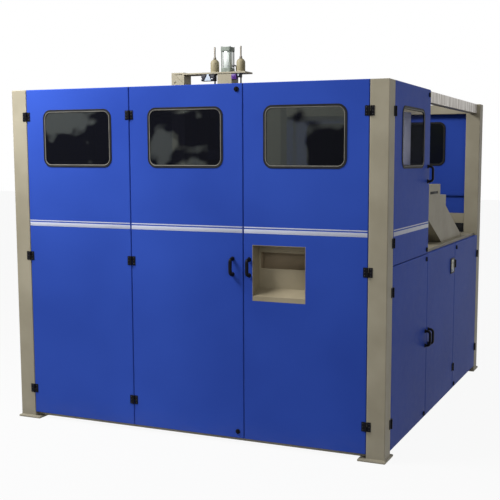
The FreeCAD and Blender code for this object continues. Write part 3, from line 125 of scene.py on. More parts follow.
# rear glass: near-black and darker than the front glass, partly tint and partly painted shade for the dark seen
# through the rear windows
DARK_TINT_PAINTED_SHADE = (0.010, 0.012, 0.012), (0.006, 0.007, 0.014)
CLEAR_TINT = (0.620, 0.630, 0.680), (0.420, 0.430, 0.500)
SHOP_DUST = (0.200, 0.185, 0.160)
FLOOR_GREY = (0.450, 0.450, 0.450)


# ---------------------------------------------------------------- finishes

def fill(tree, node, inputs):
    """Gives inputs of a node, by name or number, their values or links."""
    for key, value in inputs.items():
        socket = node.inputs[key]
        if isinstance(value, bpy.types.NodeSocket):
            tree.links.new(value, socket)
        else:
            socket.default_value = (*value, 1.0) if socket.type == "RGBA" else value


def add_node(tree, kind, inputs, **settings):
    node = tree.nodes.new("ShaderNode" + kind)
    for label, value in settings.items():
        setattr(node, label, value)
    fill(tree, node, inputs)
    return node


def own_place(tree):
    """The piece's own coordinates, which start at the floor under the cabinet's middle."""
    return add_node(tree, "TexCoord", {}).outputs["Object"]


def stretched_noise(tree, size, stretch, detail):
    """Noise on the piece's own coordinates, stretched by a scale along each axis."""
    scaled = add_node(tree, "VectorMath", {0: own_place(tree), 1: stretch}, operation="MULTIPLY")
    noise = add_node(tree, "TexNoise", {"Vector": scaled.outputs[0], "Scale": size, "Detail": detail})
    return noise.outputs["Fac"]


def value_range(tree, value, low, high, to_low, to_high):
    limits = {"Value": value, "From Min": low, "From Max": high, "To Min": to_low, "To Max": to_high}
    return add_node(tree, "MapRange", limits).outputs["Result"]


def colour_mix(tree, share, first, second):
    return add_node(tree, "Mix", {0: share, 6: first, 7: second}, data_type="RGBA").outputs[2]


def maths(tree, operation, *values, clamp=False):
    return add_node(tree, "Math", dict(enumerate(values)), operation=operation, use_clamp=clamp).outputs[0]


def new_group(name, inputs, outputs):
    """A shader node group with named sockets: (name, kind, value) in, (name, kind) out."""
    group = bpy.data.node_groups.new(name, "ShaderNodeTree")
    for label, kind, value in inputs:
        socket = group.interface.new_socket(label, in_out="INPUT", socket_type="NodeSocket" + kind)
        socket.default_value = value
    for label, kind in outputs:
        group.interface.new_socket(label, in_out="OUTPUT", socket_type="NodeSocket" + kind)
    return group, group.nodes.new("NodeGroupInput").outputs, group.nodes.new("NodeGroupOutput")


def two_tone_group():
    """Broad mottling between two tones, with a slow change of roughness."""
    group, into, out = new_group(
        "two_tone",
        (("Main", "Color", (1, 1, 1, 1)), ("Second", "Color", (0, 0, 0, 1)), ("Share", "Float", 0.5),
         ("Size", "Float", 3.0), ("Roughness", "Float", 0.4), ("Spread", "Float", 0.1),
         ("Stretch", "Vector", (1, 1, 1)), ("Start", "Float", 0.35), ("End", "Float", 0.7)),
        (("Color", "Color"), ("Roughness", "Float")))
    patches = stretched_noise(group, into["Size"], into["Stretch"], 3.0)
    share = value_range(group, patches, into["Start"], into["End"], 0.0, into["Share"])
    wear = stretched_noise(group, 22.0, (1, 1, 1), 3.0)
    fill(group, out, {"Color": colour_mix(group, share, into["Main"], into["Second"]),
                      "Roughness": maths(group, "MULTIPLY_ADD", wear, into["Spread"], into["Roughness"])})
    return group


def floor_dust_group():
    """Shop dust that gathers near the floor and thins out upwards."""
    group, into, out = new_group(
        "floor_dust",
        (("Color", "Color", (1, 1, 1, 1)), ("Dust", "Color", (*SHOP_DUST, 1)), ("Amount", "Float", 0.4),
         ("Height", "Float", 0.3)),
        (("Color", "Color"),))
    height = add_node(group, "SeparateXYZ", {0: own_place(group)}).outputs["Z"]
    fall = value_range(group, height, 0.0, into["Height"], 1.0, 0.0)
    patches = value_range(group, stretched_noise(group, 9.0, (1, 1, 2.5), 5.0), 0.3, 0.75, 0.0, 1.0)
    amount = maths(group, "MULTIPLY", maths(group, "MULTIPLY", fall, patches), into["Amount"])
    fill(group, out, {"Color": colour_mix(group, amount, into["Color"], into["Dust"])})
    return group


def fine_relief_group():
    """A fine relief, such as orange peel in paint, grain in rubber or lines in turned metal."""
    group, into, out = new_group(
        "fine_relief",
        (("Size", "Float", 400.0), ("Depth", "Float", 0.1), ("Stretch", "Vector", (1, 1, 1))),
        (("Normal", "Vector"),))
    height = stretched_noise(group, into["Size"], into["Stretch"], 2.0)
    bump = add_node(group, "Bump", {"Height": height, "Strength": into["Depth"], "Distance": 0.4 * MM})
    fill(group, out, {"Normal": bump.outputs["Normal"]})
    return group


TWO_TONE = two_tone_group()
FLOOR_DUST = floor_dust_group()
FINE_RELIEF = fine_relief_group()


def placed(tree, group, **values):
    return add_node(tree, "Group", values, node_tree=group).outputs


def new_material(name):
    material = bpy.data.materials.new(name)
    material.use_nodes = True
    return material, material.node_tree, material.node_tree.nodes["Principled BSDF"]


def finish(name, tones, share, size, rough, spread, metal=0.0, grain=(400.0, 0.1), stretch=(1.0, 1.0, 1.0),
           dust=0.0, dust_height=0.3, gloss=0.3):
    """A surface of two tones. Share and size are those of the second tone's patches, rough and spread give
    the roughness, and grain is the size and depth of the fine relief. Dust reaches up to its height."""
    material, tree, shader = new_material(name)
    skin = placed(tree, TWO_TONE, Main=tones[0], Second=tones[1], Share=share, Size=size, Roughness=rough,
                  Spread=spread, Stretch=stretch)
    relief = placed(tree, FINE_RELIEF, Size=grain[0], Depth=grain[1], Stretch=stretch)
    colour = skin["Color"]
    if dust:
        colour = placed(tree, FLOOR_DUST, Color=colour, Amount=dust, Height=dust_height)["Color"]
    fill(tree, shader, {"Base Color": colour, "Roughness": skin["Roughness"], "Normal": relief["Normal"],
                        "Metallic": metal, "Specular IOR Level": gloss})
    return material


blue_paint = finish("blue_powder_coat", BLUE, 0.7, 1.1, 0.36, 0.12, grain=(900.0, 0.25), dust=0.10,
                    dust_height=0.15, gloss=0.02)
cream_paint = finish("cream_enamel", CREAM, 0.6, 4.0, 0.42, 0.14, grain=(700.0, 0.25), dust=0.40,
                     dust_height=0.25, gloss=0.2)
brushed_bare = finish("brushed_bare_beam", BRUSHED, 1.0, 9.0, 0.46, 0.14, 0.45, (300.0, 0.3), (1.0, 4.4, 0.35))
pale_grey = finish("pale_grey_enamel", PALE_GREY, 0.6, 8.0, 0.40, 0.12, grain=(900.0, 0.25), gloss=0.2)
pocket_enamel = finish("pocket_enamel", POCKET, 0.6, 6.0, 0.46, 0.12, grain=(700.0, 0.25), gloss=0.15)
hood_enamel = finish("hood_enamel", HOOD, 0.6, 8.0, 0.50, 0.12, grain=(700.0, 0.25), gloss=0.1)
stripe_film = finish("white_stripe_film", STRIPE_WHITE, 0.5, 6.0, 0.34, 0.1, grain=(1200.0, 0.08))
black_enamel = finish("black_enamel", BLACK_ENAMEL, 0.6, 30.0, 0.28, 0.14, grain=(1500.0, 0.3), gloss=0.05)
window_rubber = finish("window_rubber", RUBBER, 0.7, 18.0, 0.55, 0.18, grain=(2200.0, 0.5), gloss=0.15)
# the strip's light tone is partly painted highlight along the gasket's inner lip
locking_strip_painted_highlight = finish("gasket_strip_painted_highlight", LOCKING_STRIP_PAINTED_HIGHLIGHT, 0.7, 12.0, 0.50, 0.15, grain=(2000.0, 0.4),
                       gloss=0.2)
screw_steel = finish("blackened_screw", SCREW, 0.5, 60.0, 0.36, 0.15, 0.6)
machined_steel = finish("machined_steel", STEEL, 0.5, 7.0, 0.34, 0.16, 0.7, (260.0, 0.35), (0.15, 1.0, 2.0))
mould_metal = finish("milled_aluminium", MOULD_METAL, 0.5, 9.0, 0.28, 0.14, 0.7, (330.0, 0.3), (1.0, 0.2, 2.0))
chrome = finish("hard_chrome", CHROME, 0.4, 12.0, 0.10, 0.08, 0.9, (600.0, 0.06), (1.0, 1.0, 0.3))
barrel_metal = finish("drawn_barrel", BARREL, 0.5, 30.0, 0.30, 0.12, 0.35, (500.0, 0.2), (2.0, 2.0, 0.15))
cap_green = finish("grey_green_casting", CAP_GREEN, 0.7, 40.0, 0.42, 0.16, grain=(900.0, 0.4))
rod_brown = finish("oiled_rod", ROD_BROWN, 0.6, 30.0, 0.28, 0.12, 0.4, (600.0, 0.1), (1.0, 1.0, 0.2))
tan_moulding = finish("tan_moulding", TAN, 0.7, 26.0, 0.46, 0.14, grain=(1300.0, 0.3), stretch=(1.0, 1.0, 0.3))
valve_black = finish("valve_black", VALVE_BLACK, 0.5, 40.0, 0.40, 0.14, grain=(1400.0, 0.4), gloss=0.2)
valve_purple = finish("valve_purple", VALVE_PURPLE, 0.5, 45.0, 0.38, 0.12, grain=(1400.0, 0.3))
valve_light = finish("valve_cover_light", VALVE_LIGHT, 0.5, 30.0, 0.40, 0.12, grain=(1200.0, 0.3))
hose_rubber = finish("hose_rubber", HOSE, 0.6, 40.0, 0.50, 0.14, grain=(1500.0, 0.4), gloss=0.2)
lamp_quartz = finish("quartz_lamp", QUARTZ, 0.5, 14.0, 0.20, 0.1, grain=(900.0, 0.1))
lamp_ceramic = finish("lamp_ceramic", CERAMIC, 0.5, 30.0, 0.55, 0.12, grain=(900.0, 0.5))
meter_case = finish("meter_case_black", METER_BLACK, 0.5, 40.0, 0.42, 0.14, grain=(1600.0, 0.4), gloss=0.2)
meter_cream = finish("meter_face_cream", METER_CREAM, 0.5, 25.0, 0.36, 0.1, grain=(1300.0, 0.15))
screen_black = finish("screen_black", SCREEN, 0.5, 10.0, 0.10, 0.06, grain=(900.0, 0.02), gloss=0.4)
panel_blue_grey = finish("panel_blue_grey", BLUE_GREY, 0.5, 20.0, 0.40, 0.12, grain=(1300.0, 0.2))
key_grey = finish("key_grey", KEY_GREY, 0.5, 40.0, 0.46, 0.12, grain=(1500.0, 0.3))


def pane_material(name, tones, share, size, clear, edges, ior):
    """Tinted sheet with broad soft shapes in its tint and a slow change of polish; on the front panes the
    shapes are painted reflections over partly painted shade.
    """
    material, tree, shader = new_material(name)
    skin = placed(tree, TWO_TONE, Main=tones[0], Second=tones[1], Share=share, Size=size, Roughness=0.0,
                  Spread=0.008, Stretch=(1.0, 1.0, 1.4), Start=edges[0], End=edges[1])
    fill(tree, shader, {"Base Color": skin["Color"], "Roughness": skin["Roughness"], "Metallic": 0.0,
                        "Transmission Weight": clear, "IOR": ior})
    return material


# the grey-green patches on the front panes, sized and edged for each door, are painted reflections; their
# near-black tone is partly painted shade
front_panes = {place: pane_material(f"front_{place}_smoked", SMOKED_PAINTED_SHADE_AND_REFLECTIONS, 1.0, size, 0.7, edges, 1.13)
               for place, size, edges in (("left", 2.6, (0.42, 0.46)), ("middle", 2.6, (0.42, 0.46)),
                                          ("right", 2.2, (0.53, 0.57)))}
# rear panes: near-black and barely clear, painted shade for the dark beyond them
dark_pane = pane_material("dark_pane", DARK_TINT_PAINTED_SHADE, 0.8, 2.2, 0.4, (0.45, 0.6), 1.12)
clear_pane = pane_material("clear_pane", CLEAR_TINT, 0.6, 3.0, 0.99, (0.4, 0.6), 1.004)


def paint_nodes(material, *names):
    for name in names:
        mesh = frame["nodes"][name].data
        mesh.materials.clear()
        mesh.materials.append(material)


FRONT_FITTINGS = ("door_left_fittings", "door_middle_fittings", "door_right_fittings")
SIDE_FITTINGS = ("side_upper_fittings", "side_front_fittings", "side_middle_fittings", "side_rear_fittings")
FRONT_LATCHES = ("front_top_latch", "front_bottom_latch")
SIDE_LATCHES = ("side_top_latch", "side_deck_latch", "side_front_top_latch", "side_front_low_latch",
                "side_rear_top_latch", "side_rear_low_latch")

paint_nodes(blue_paint, "door_left", "door_middle", "door_right", "side_upper_door", "side_front_door",
            "side_middle_door", "side_rear_door", "left_panels", "rear_panels")
paint_nodes(cream_paint, "posts", "frame_beams", "deck_plate", "side_chute", "chute_hopper",
            "stretch_gantry", "roof_plate", "control_cabinet", "clamp_frame")
paint_nodes(pale_grey, "console")
paint_nodes(pocket_enamel, "outlet_pocket")
paint_nodes(machined_steel, "front_platen", "rear_platen", "clamp_cylinders", "stretch_crossbar",
            "oven_housing")
paint_nodes(mould_metal, "front_mould_half", "rear_mould_half", "blow_head", "blow_cylinder")
paint_nodes(chrome, "tie_bars", "front_clamp_rod", "rear_clamp_rod", "blow_piston_rod", "stretch_rods")
paint_nodes(black_enamel, "post_hinge_leaves", *FRONT_FITTINGS, *SIDE_FITTINGS, *FRONT_LATCHES, *SIDE_LATCHES)
paint_nodes(meter_case, "panel_meter")
paint_nodes(tan_moulding, "stretch_cylinders")
paint_nodes(valve_black, "valve_blocks")
paint_nodes(hose_rubber, "cylinder_hose")
paint_nodes(lamp_quartz, "oven_lamps")
paint_nodes(dark_pane, "rear_windows")
paint_nodes(clear_pane, "side_upper_window")
for place_name, pane_sheet in front_panes.items():
    paint_nodes(pane_sheet, f"door_{place_name}_window")

# rolled and machined edges of the nodes that show their own mesh, in millimetres
EDGE_ROUNDS = {"posts": 4.0, "frame_beams": 3.0, "stretch_gantry": 2.5, "roof_plate": 1.0, "clamp_frame": 1.5,
               "front_platen": 1.5, "rear_platen": 1.5, "front_mould_half": 0.8, "rear_mould_half": 0.8,
               "clamp_cylinders": 2.0, "blow_head": 1.2, "stretch_crossbar": 1.2, "oven_housing": 0.6,
               "console": 1.5, "control_cabinet": 0.8, "chute_hopper": 0.8, "side_chute": 0.8,
               "deck_plate": 1.0}
JOINING_REACH = 0.01 * MM
SHARP_EDGE = math.radians(40)
for node_name, round_edge in EDGE_ROUNDS.items():
    joined = frame["nodes"][node_name].modifiers.new("joined_faces", "WELD")
    joined.merge_threshold = JOINING_REACH
    soft_edge = frame["nodes"][node_name].modifiers.new("soft_edge", "BEVEL")
    soft_edge.width = round_edge * MM
    soft_edge.segments = 2
    soft_edge.limit_method = "ANGLE"
    soft_edge.angle_limit = SHARP_EDGE
    soft_edge.use_clamp_overlap = True


# ---------------------------------------------------------------- shapes

def mm(*pairs):
    """Pairs of sizes in metres, given in millimetres."""
    return [(first * MM, second * MM) for first, second in pairs]


def rounded_outline(half_wide, half_high, radius):
    """Points of a rounded rectangle round (0, 0)."""
    points = []
    for sx, sz, start in ((1, 1, 0), (-1, 1, 90), (-1, -1, 180), (1, -1, 270)):
        for k in range(CORNER_STEPS + 1):
            a = math.radians(start + 90 * k / CORNER_STEPS)
            points.append((sx * (half_wide - radius) + radius * math.cos(a),
                           sz * (half_high - radius) + radius * math.sin(a)))
    return points


class Wall:
    """Directions on one outer wall, seen from outside: along it, out of it and up. Its face is how far out
    the outer face of a door or panel on it lies."""

    def __init__(self, out, door):
        self.out = Vector(out)
        self.along = UP.cross(self.out)
        self.face = max(self.read(p)[1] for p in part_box(door))

    def place(self, along, out, up):
        return self.along * along + self.out * out + UP * up

    def read(self, point):
        """How far a point lies along, out of and up the wall."""
        return point.dot(self.along), point.dot(self.out), point.z

    def spans(self, points):
        """Lowest and highest (along, out, up) of some points."""
        seen = [self.read(p) for p in points]
        return [min(s[k] for s in seen) for k in range(3)], [max(s[k] for s in seen) for k in range(3)]

    def outlines(self, middle, half, radius, steps):
        """Rounded outlines round a middle (along, up), one for each (inset, out) step."""
        return [[self.place(middle[0] + a, out, middle[1] + b)
                 for a, b in rounded_outline(half[0] - inset, half[1] - inset, radius - inset)]
                for inset, out in steps]


FRONT = Wall((0, -1, 0), "door_left")
SIDE = Wall((1, 0, 0), "side_upper_door")
REAR = Wall((0, 1, 0), "rear_panels")


class Shape:
    """A mesh that is put together from closed forms, each with its own finish."""

    def __init__(self, name, *finishes):
        self.name, self.finishes, self.mesh = name, finishes, bmesh.new()

    def ring_skin(self, rings, finish_index=0, closed=False):
        """Quads between rings of as many points; closed joins the last to the first, open caps both ends."""
        rows = [[self.mesh.verts.new(p) for p in ring] for ring in rings]
        pairs = list(zip(rows, rows[1:])) + ([(rows[-1], rows[0])] if closed else [])
        faces = [self.mesh.faces.new((low[k - 1], low[k], high[k], high[k - 1]))
                 for low, high in pairs for k in range(len(low))]
        if not closed:
            faces += [self.mesh.faces.new(list(reversed(rows[0]))), self.mesh.faces.new(rows[-1])]
        for face in faces:
            face.material_index = finish_index
        return faces

    def turned(self, place, profile, along, finish_index=0, sides=SMALL_ROUND):
        """A turned form: (distance along the axis, radius) pairs about an axis through a place."""
        turn = along.to_track_quat("Z", "Y")
        angles = [2 * math.pi * k / sides for k in range(sides)]
        self.ring_skin([[place + turn @ Vector((radius * math.cos(a), radius * math.sin(a), far))
                         for a in angles] for far, radius in profile], finish_index)

    def swept(self, line, radius, across, finish_index=0, sides=16, wide=None):
        """A round or oval bar along a line of points in one plane; across, its wide way, is square to it."""
        wide = wide or radius
        angles = [2 * math.pi * k / sides for k in range(sides)]
        rings = []
        for k, point in enumerate(line):
            way = (line[min(k + 1, len(line) - 1)] - line[max(k - 1, 0)]).normalized()
            side = way.cross(across)
            rings.append([point + radius * math.cos(a) * side + wide * math.sin(a) * across for a in angles])
        self.ring_skin(rings, finish_index)

    def block(self, corner, other, edge, finish_index=0, turn=Matrix.Identity(4)):
        """A box with softened edges between two corners, turned as a whole."""
        low, high = Vector(map(min, corner, other)), Vector(map(max, corner, other))
        size = high - low
        place = turn @ Matrix.Translation((low + high) / 2) @ Matrix.Diagonal((*size, 1))
        made = bmesh.ops.create_cube(self.mesh, size=1.0, matrix=place)
        edges = list({e for v in made["verts"] for e in v.link_edges})
        soft = bmesh.ops.bevel(self.mesh, geom=edges, offset=min(edge, min(size) * 0.3), segments=2,
                               affect="EDGES", profile=0.5)
        for face in {f for v in soft["verts"] for f in v.link_faces}:
            face.material_index = finish_index

    def slab(self, wall, middle, half, near, far, edge, finish_index=0):
        """A box on a wall: its middle and half size (along, up), and how far out it starts and ends."""
        self.block(wall.place(middle[0] - half[0], near, middle[1] - half[1]),
                   wall.place(middle[0] + half[0], far, middle[1] + half[1]), edge, finish_index)

    def plan_block(self, middle, half, radius, low, high, edge, finish_index):
        """An upright square block with round corners in plan and softened rims."""
        self.ring_skin([[Vector((middle.x + a, middle.y + b, z))
                         for a, b in rounded_outline(half - inset, half - inset, radius - inset)]
                        for z, inset in ((low, edge), (low + edge, 0.0), (high - edge, 0.0), (high, edge))],
                       finish_index)

    def done(self, body, slot, *stands_for):
        """Makes the piece, which rides on a body and may stand for nodes that it replaces."""
        bmesh.ops.recalc_face_normals(self.mesh, faces=self.mesh.faces)
        mesh = bpy.data.meshes.new(self.name)
        self.mesh.to_mesh(mesh)
        self.mesh.free()
        for material in self.finishes:
            mesh.materials.append(material)
        piece = bpy.data.objects.new(self.name, mesh)
        bpy.context.scene.collection.objects.link(piece)
        mesh.shade_smooth()
        mesh.set_sharp_from_angle(angle=SMOOTH_BELOW)
        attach(piece, body)
        if stands_for:
            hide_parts(*stands_for)


def body_of(node):
    return frame["nodes"][node]["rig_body"]


def solids(node):
    """The separate solids of a node: for each one its points, lowest corner and highest corner."""
    work = bmesh.new()
    work.from_mesh(frame["nodes"][node].data)
    bmesh.ops.remove_doubles(work, verts=work.verts, dist=SAME_POINT)
    left, found = set(work.verts), []
    while left:
        queue, group = [left.pop()], []
        while queue:
            vert = queue.pop()
            group.append(vert.co.copy())
            for edge in vert.link_edges:
                other = edge.other_vert(vert)
                if other in left:
                    left.remove(other)
                    queue.append(other)
        low = Vector([min(p[k] for p in group) for k in range(3)])
        high = Vector([max(p[k] for p in group) for k in range(3)])
        found.append((group, low, high))
    work.free()
    return sorted(found, key=lambda s: (round(s[1].z, 3), round(s[1].x, 3), round(s[1].y, 3)))


def foot_of(low, high):
    """The middle of a box's underside."""
    return Vector(((low.x + high.x) / 2, (low.y + high.y) / 2, low.z))


def front_middle(low, high):
    """The middle of the side of a box that faces the front."""
    return Vector(((low.x + high.x) / 2, low.y, (low.z + high.z) / 2))


# ---- windows ----
WINDOW_RADIUS = 50 * MM
PANE_LAP = 10 * MM
GASKET_CROWN = ((0.0, 0.0), (0.3, 0.55), (1.6, 0.95), (4.0, 1.0), (6.8, 0.80), (7.6, 0.62), (8.4, 0.80),
                (11.5, 1.0), (14.2, 0.90), (15.6, 0.45), (16.0, 0.0))  # inset in mm, share of its height
# crown rings on the inner lip that take the light strip, partly painted highlight
LIP_HIGHLIGHT_RINGS = (7, 8)
GASKET_BACK = ((2.0, 0.0), (2.4, -2.0), (5.0, -3.0), (15.0, -3.0), (17.6, -2.0), (18.0, 0.0))


def window_pieces(node, wall, name, low, high, pane_points, sheet):
    """A soft rubber gasket with a light strip locked into its crown, partly painted highlight along the inner
    lip, and the pane that it holds.
    """
    middle = (low[0] + high[0]) / 2, (low[2] + high[2]) / 2
    half = (high[0] - low[0]) / 2, (high[2] - low[2]) / 2
    skin, proud = low[1], high[1] - low[1]
    pane_low, pane_high = wall.spans(pane_points)
    gasket = Shape(name + "_gasket", window_rubber, locking_strip_painted_highlight)
    rings = wall.outlines(middle, half, WINDOW_RADIUS,
                          [(inset * MM, skin + share * proud) for inset, share in GASKET_CROWN])
    faces = gasket.ring_skin(rings, closed=True)
    around = len(rings[0])
    for ring in LIP_HIGHLIGHT_RINGS:
        for face in faces[ring * around:(ring + 1) * around]:
            face.material_index = 1
    back = min(pane_low[1], skin - 2 * MM)
    gasket.ring_skin(wall.outlines(middle, half, WINDOW_RADIUS,
                                   [(inset, back + out) for inset, out in mm(*GASKET_BACK)]), closed=True)
    gasket.done(body_of(node), "window", node)
    pane = Shape(name + "_pane", sheet)
    half = (pane_high[0] - pane_low[0]) / 2, (pane_high[2] - pane_low[2]) / 2
    pane.ring_skin(wall.outlines(middle, half, WINDOW_RADIUS - PANE_LAP,
                                 [(0.0, pane_low[1]), (0.0, pane_high[1])]))
    pane.done(body_of(node), "window", node)


def windows(node, wall, name, sheet):
    """Each gasket of a node, with the pane behind it."""
    found = sorted(solids(node), key=lambda s: wall.read(s[1])[0])
    proud = [wall.spans(s[0])[1][1] > wall.face + 1 * MM for s in found]
    gaskets = [s for s, stands_out in zip(found, proud) if stands_out]
    panes = [s for s, stands_out in zip(found, proud) if not stands_out]
    for k, (gasket, pane) in enumerate(zip(gaskets, panes)):
        label = f"{name}_{k + 1}" if len(gaskets) > 1 else name
        window_pieces(node, wall, label, *wall.spans(gasket[0]), pane[0], sheet)


for place_name, pane_sheet in front_panes.items():
    windows(f"door_{place_name}_window", FRONT, f"front_{place_name}_window", pane_sheet)
windows("side_upper_window", SIDE, "side_window", clear_pane)
windows("rear_windows", REAR, "rear_window", dark_pane)

# ---- hinges and handles ----
LEAF_THICK, LEAF_EDGE = 2.4 * MM, 1.1 * MM
NECK_EDGE = 0.6 * MM
PIN_OUT = 5.5 * MM
EYE_RADIUS = 4.6 * MM
EYE_REACH = 5.6 * MM
EYE_RIM = 0.5 * MM
EYE_STARTS = 4 * MM
HALF_GAP = 0.2 * MM
PIN_HEAD_RADIUS = 3.2 * MM
SCREW_RADIUS = 2.6 * MM
SCREW_ROWS = (-0.33, 0, 0.33)
SCREW_HEAD = ((0, 1), (0.4, 0.96), (0.62, 0.7), (0.66, 0.42), (0.35, 0.36))  # shares of its radius
HANDLE_RADIUS = 7.2 * MM
HANDLE_HALF_WIDE = 9.6 * MM
HANDLE_BEND = 17 * MM
HANDLE_AT_LEAST = 80 * MM
HANDLE_PAD = mm((0, 12), (1.6, 12), (3.0, 10.8), (5.0, 10.08), (9.0, 7.92))


def screw(shape, place, out, radius=SCREW_RADIUS):
    """A small domed screw head with a sunk middle."""
    shape.turned(place, [(far * radius, share * radius) for far, share in SCREW_HEAD], out, 1, 12)


def hinge_leaf(shape, wall, points):
    """A rounded leaf with three screws, an eye on the pin's line, and the pin's head on a fixed leaf."""
    face = wall.face
    low, high = wall.spans(points)
    middle_z = (low[2] + high[2]) / 2
    eye = [wall.read(p) for p in points if wall.read(p)[1] > face + EYE_STARTS]
    axis = (min(p[0] for p in eye) + max(p[0] for p in eye)) / 2
    far = max(low[0], high[0], key=lambda a: abs(a - axis))
    way = 1 if far > axis else -1
    near = axis + way * EYE_REACH
    shape.block(wall.place(near, face, low[2]), wall.place(far, face + LEAF_THICK, high[2]), LEAF_EDGE)
    fixed = min(p[2] for p in eye) < middle_z - 1 * MM
    z0, z1 = (low[2], middle_z - HALF_GAP) if fixed else (middle_z + HALF_GAP, high[2])
    shape.block(wall.place(axis + way * 2 * MM, face + 0.5 * MM, z0 + NECK_EDGE),
                wall.place(near + way * 1.5 * MM, face + LEAF_THICK + 2 * NECK_EDGE, z1 - NECK_EDGE),
                NECK_EDGE)
    long = z1 - z0
    shape.turned(wall.place(axis, face + PIN_OUT, z0),
                 ((0, EYE_RADIUS * 0.86), (EYE_RIM, EYE_RADIUS), (long - EYE_RIM, EYE_RADIUS),
                  (long, EYE_RADIUS * 0.86)), UP)
    if fixed:
        shape.turned(wall.place(axis, face + PIN_OUT, high[2] - 0.3 * MM),
                     ((0, PIN_HEAD_RADIUS), (1.2 * MM, PIN_HEAD_RADIUS * 0.9),
                      (1.8 * MM, PIN_HEAD_RADIUS * 0.5)), UP, 1, 14)
    for row in SCREW_ROWS:
        screw(shape, wall.place((near + far) / 2 + way * 1 * MM, face + LEAF_THICK,
                                middle_z + row * (high[2] - low[2])), wall.out)


def bow_handle(shape, wall, points):
    """An oval bar bent into a bow, which flares into a round pad at each end."""
    low, high = wall.spans(points)
    face = wall.face
    along = (low[0] + high[0]) / 2
    bend_out = high[1] - HANDLE_RADIUS - HANDLE_BEND
    pad_low, pad_high = wall.spans([p for p in points if wall.read(p)[1] < face + 1 * MM])
    pad_half = (pad_high[0] - pad_low[0]) / 2
    z_low, z_high = low[2] + pad_half, high[2] - pad_half
    line = [wall.place(along, face, z_low)]
    for bend_z, start in ((z_low + HANDLE_BEND, -90), (z_high - HANDLE_BEND, 0)):
        for k in range(CORNER_STEPS + 1):
            a = math.radians(start + 90 * k / CORNER_STEPS)
            line.append(wall.place(along, bend_out + HANDLE_BEND * math.cos(a),
                                   bend_z + HANDLE_BEND * math.sin(a)))
    line.append(wall.place(along, face, z_high))
    shape.swept(line, HANDLE_RADIUS, wall.along, 0, 20, HANDLE_HALF_WIDE)
    for z in (z_low, z_high):
        shape.turned(wall.place(along, face, z), HANDLE_PAD, wall.out, 0, 24)


def fittings(node, wall):
    """The leaves and the bow handle of one door."""
    shape = Shape(node + "_smooth", black_enamel, screw_steel)
    for points, low, high in solids(node):
        if high.z - low.z > HANDLE_AT_LEAST:
            bow_handle(shape, wall, points)
        else:
            hinge_leaf(shape, wall, points)
    shape.done(body_of(node), "black_fittings", node)


for outer_wall, door_fittings in ((FRONT, FRONT_FITTINGS), (SIDE, SIDE_FITTINGS)):
    for node_name in door_fittings:
        fittings(node_name, outer_wall)

post_leaves = Shape("post_hinge_leaves_smooth", black_enamel, screw_steel)
for leaf_points, _, leaf_high in solids("post_hinge_leaves"):
    on_front = leaf_high.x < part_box("side_upper_door")[0].x + 1 * MM
    hinge_leaf(post_leaves, FRONT if on_front else SIDE, leaf_points)
post_leaves.done("cabinet", "black_fittings", "post_hinge_leaves")

# ---- quarter-turn latches: half sizes (along, up) of their parts ----
KNOB_RADIUS = 13.4 * MM
WING = (2.4 * MM, 12.4 * MM)
SPINDLE = (3.4 * MM, 3.4 * MM)
TONGUE = (14.6 * MM, 4.8 * MM)


def latch(node, wall):
    """A round knob with a thin rim, a rounded wing across it, and the spindle and tongue behind."""
    shape = Shape(node + "_smooth", black_enamel, screw_steel)
    low, high = wall.spans(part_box(node))
    middle = (low[0] + high[0]) / 2, (low[2] + high[2]) / 2
    face, back, proud = wall.face, low[1], high[1] - wall.face
    shape.turned(wall.place(middle[0], face, middle[1]),
                 ((0, KNOB_RADIUS), (0.35 * proud, KNOB_RADIUS), (0.5 * proud, KNOB_RADIUS * 0.92),
                  (0.55 * proud, KNOB_RADIUS * 0.55)), wall.out, 0, 28)
    shape.slab(wall, middle, WING, face + 0.4 * proud, face + proud, 1.4 * MM)
    shape.slab(wall, middle, SPINDLE, back + 3 * MM, face, 0.6 * MM, 1)
    shape.slab(wall, middle, TONGUE, back, back + 4 * MM, 1.0 * MM, 1)
    screw(shape, wall.place(middle[0], back, middle[1]), -wall.out, 4.0 * MM)
    shape.done(body_of(node), "black_fittings", node)


for outer_wall, wall_latches in ((FRONT, FRONT_LATCHES), (SIDE, SIDE_LATCHES)):
    for node_name in wall_latches:
        latch(node_name, outer_wall)

# ---- painted stripe: a thin line over a broad band ----
STRIPES = ((1.1455, 1.1670), (1.1735, 1.1795))
STRIPE_END = 3 * MM
STRIPE_FILM = 0.25 * MM
for door_node, door_wall in (("door_left", FRONT), ("door_middle", FRONT), ("door_right", FRONT),
                             ("side_upper_door", SIDE)):
    stripe = Shape(door_node + "_stripe", stripe_film)
    door_low, door_high = door_wall.spans(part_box(door_node))
    for stripe_low, stripe_high in STRIPES:
        stripe.block(door_wall.place(door_low[0] + STRIPE_END, door_high[1], stripe_low),
                     door_wall.place(door_high[0] - STRIPE_END, door_high[1] + STRIPE_FILM, stripe_high),
                     0.08 * MM)
    stripe.done(body_of(door_node), "cream_frame")


# ---- the small sheet pieces that the frame doesn't have ----
def plain_piece(name, material, slot, edge, boxes, body="cabinet"):
    """A piece of soft-edged boxes, each between two corners."""
    shape = Shape(name, material)
    for corner, other in boxes:
        shape.block(corner, other, edge)
    shape.done(body, slot)


# the top side beam is bare and brushed where no door covers it
BEAM_LOW, BEAM_HIGH, BEAM_SET_BACK = 1.856, 1.919, 0.025
POST_SIDE, FOOT_PROUD = 0.100, 0.020
COVER = 0.8 * MM
door_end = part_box("side_upper_door")[1].y
rear_post_near = cad_high.y - FOOT_PROUD - POST_SIDE
beam_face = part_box("side_upper_door")[1].x - BEAM_SET_BACK
plain_piece("side_beam_brushed_cover", brushed_bare, "cream_frame", 0.3 * MM,
            [((beam_face, door_end + 6 * MM, BEAM_LOW), (beam_face + COVER, rear_post_near, BEAM_HIGH))])

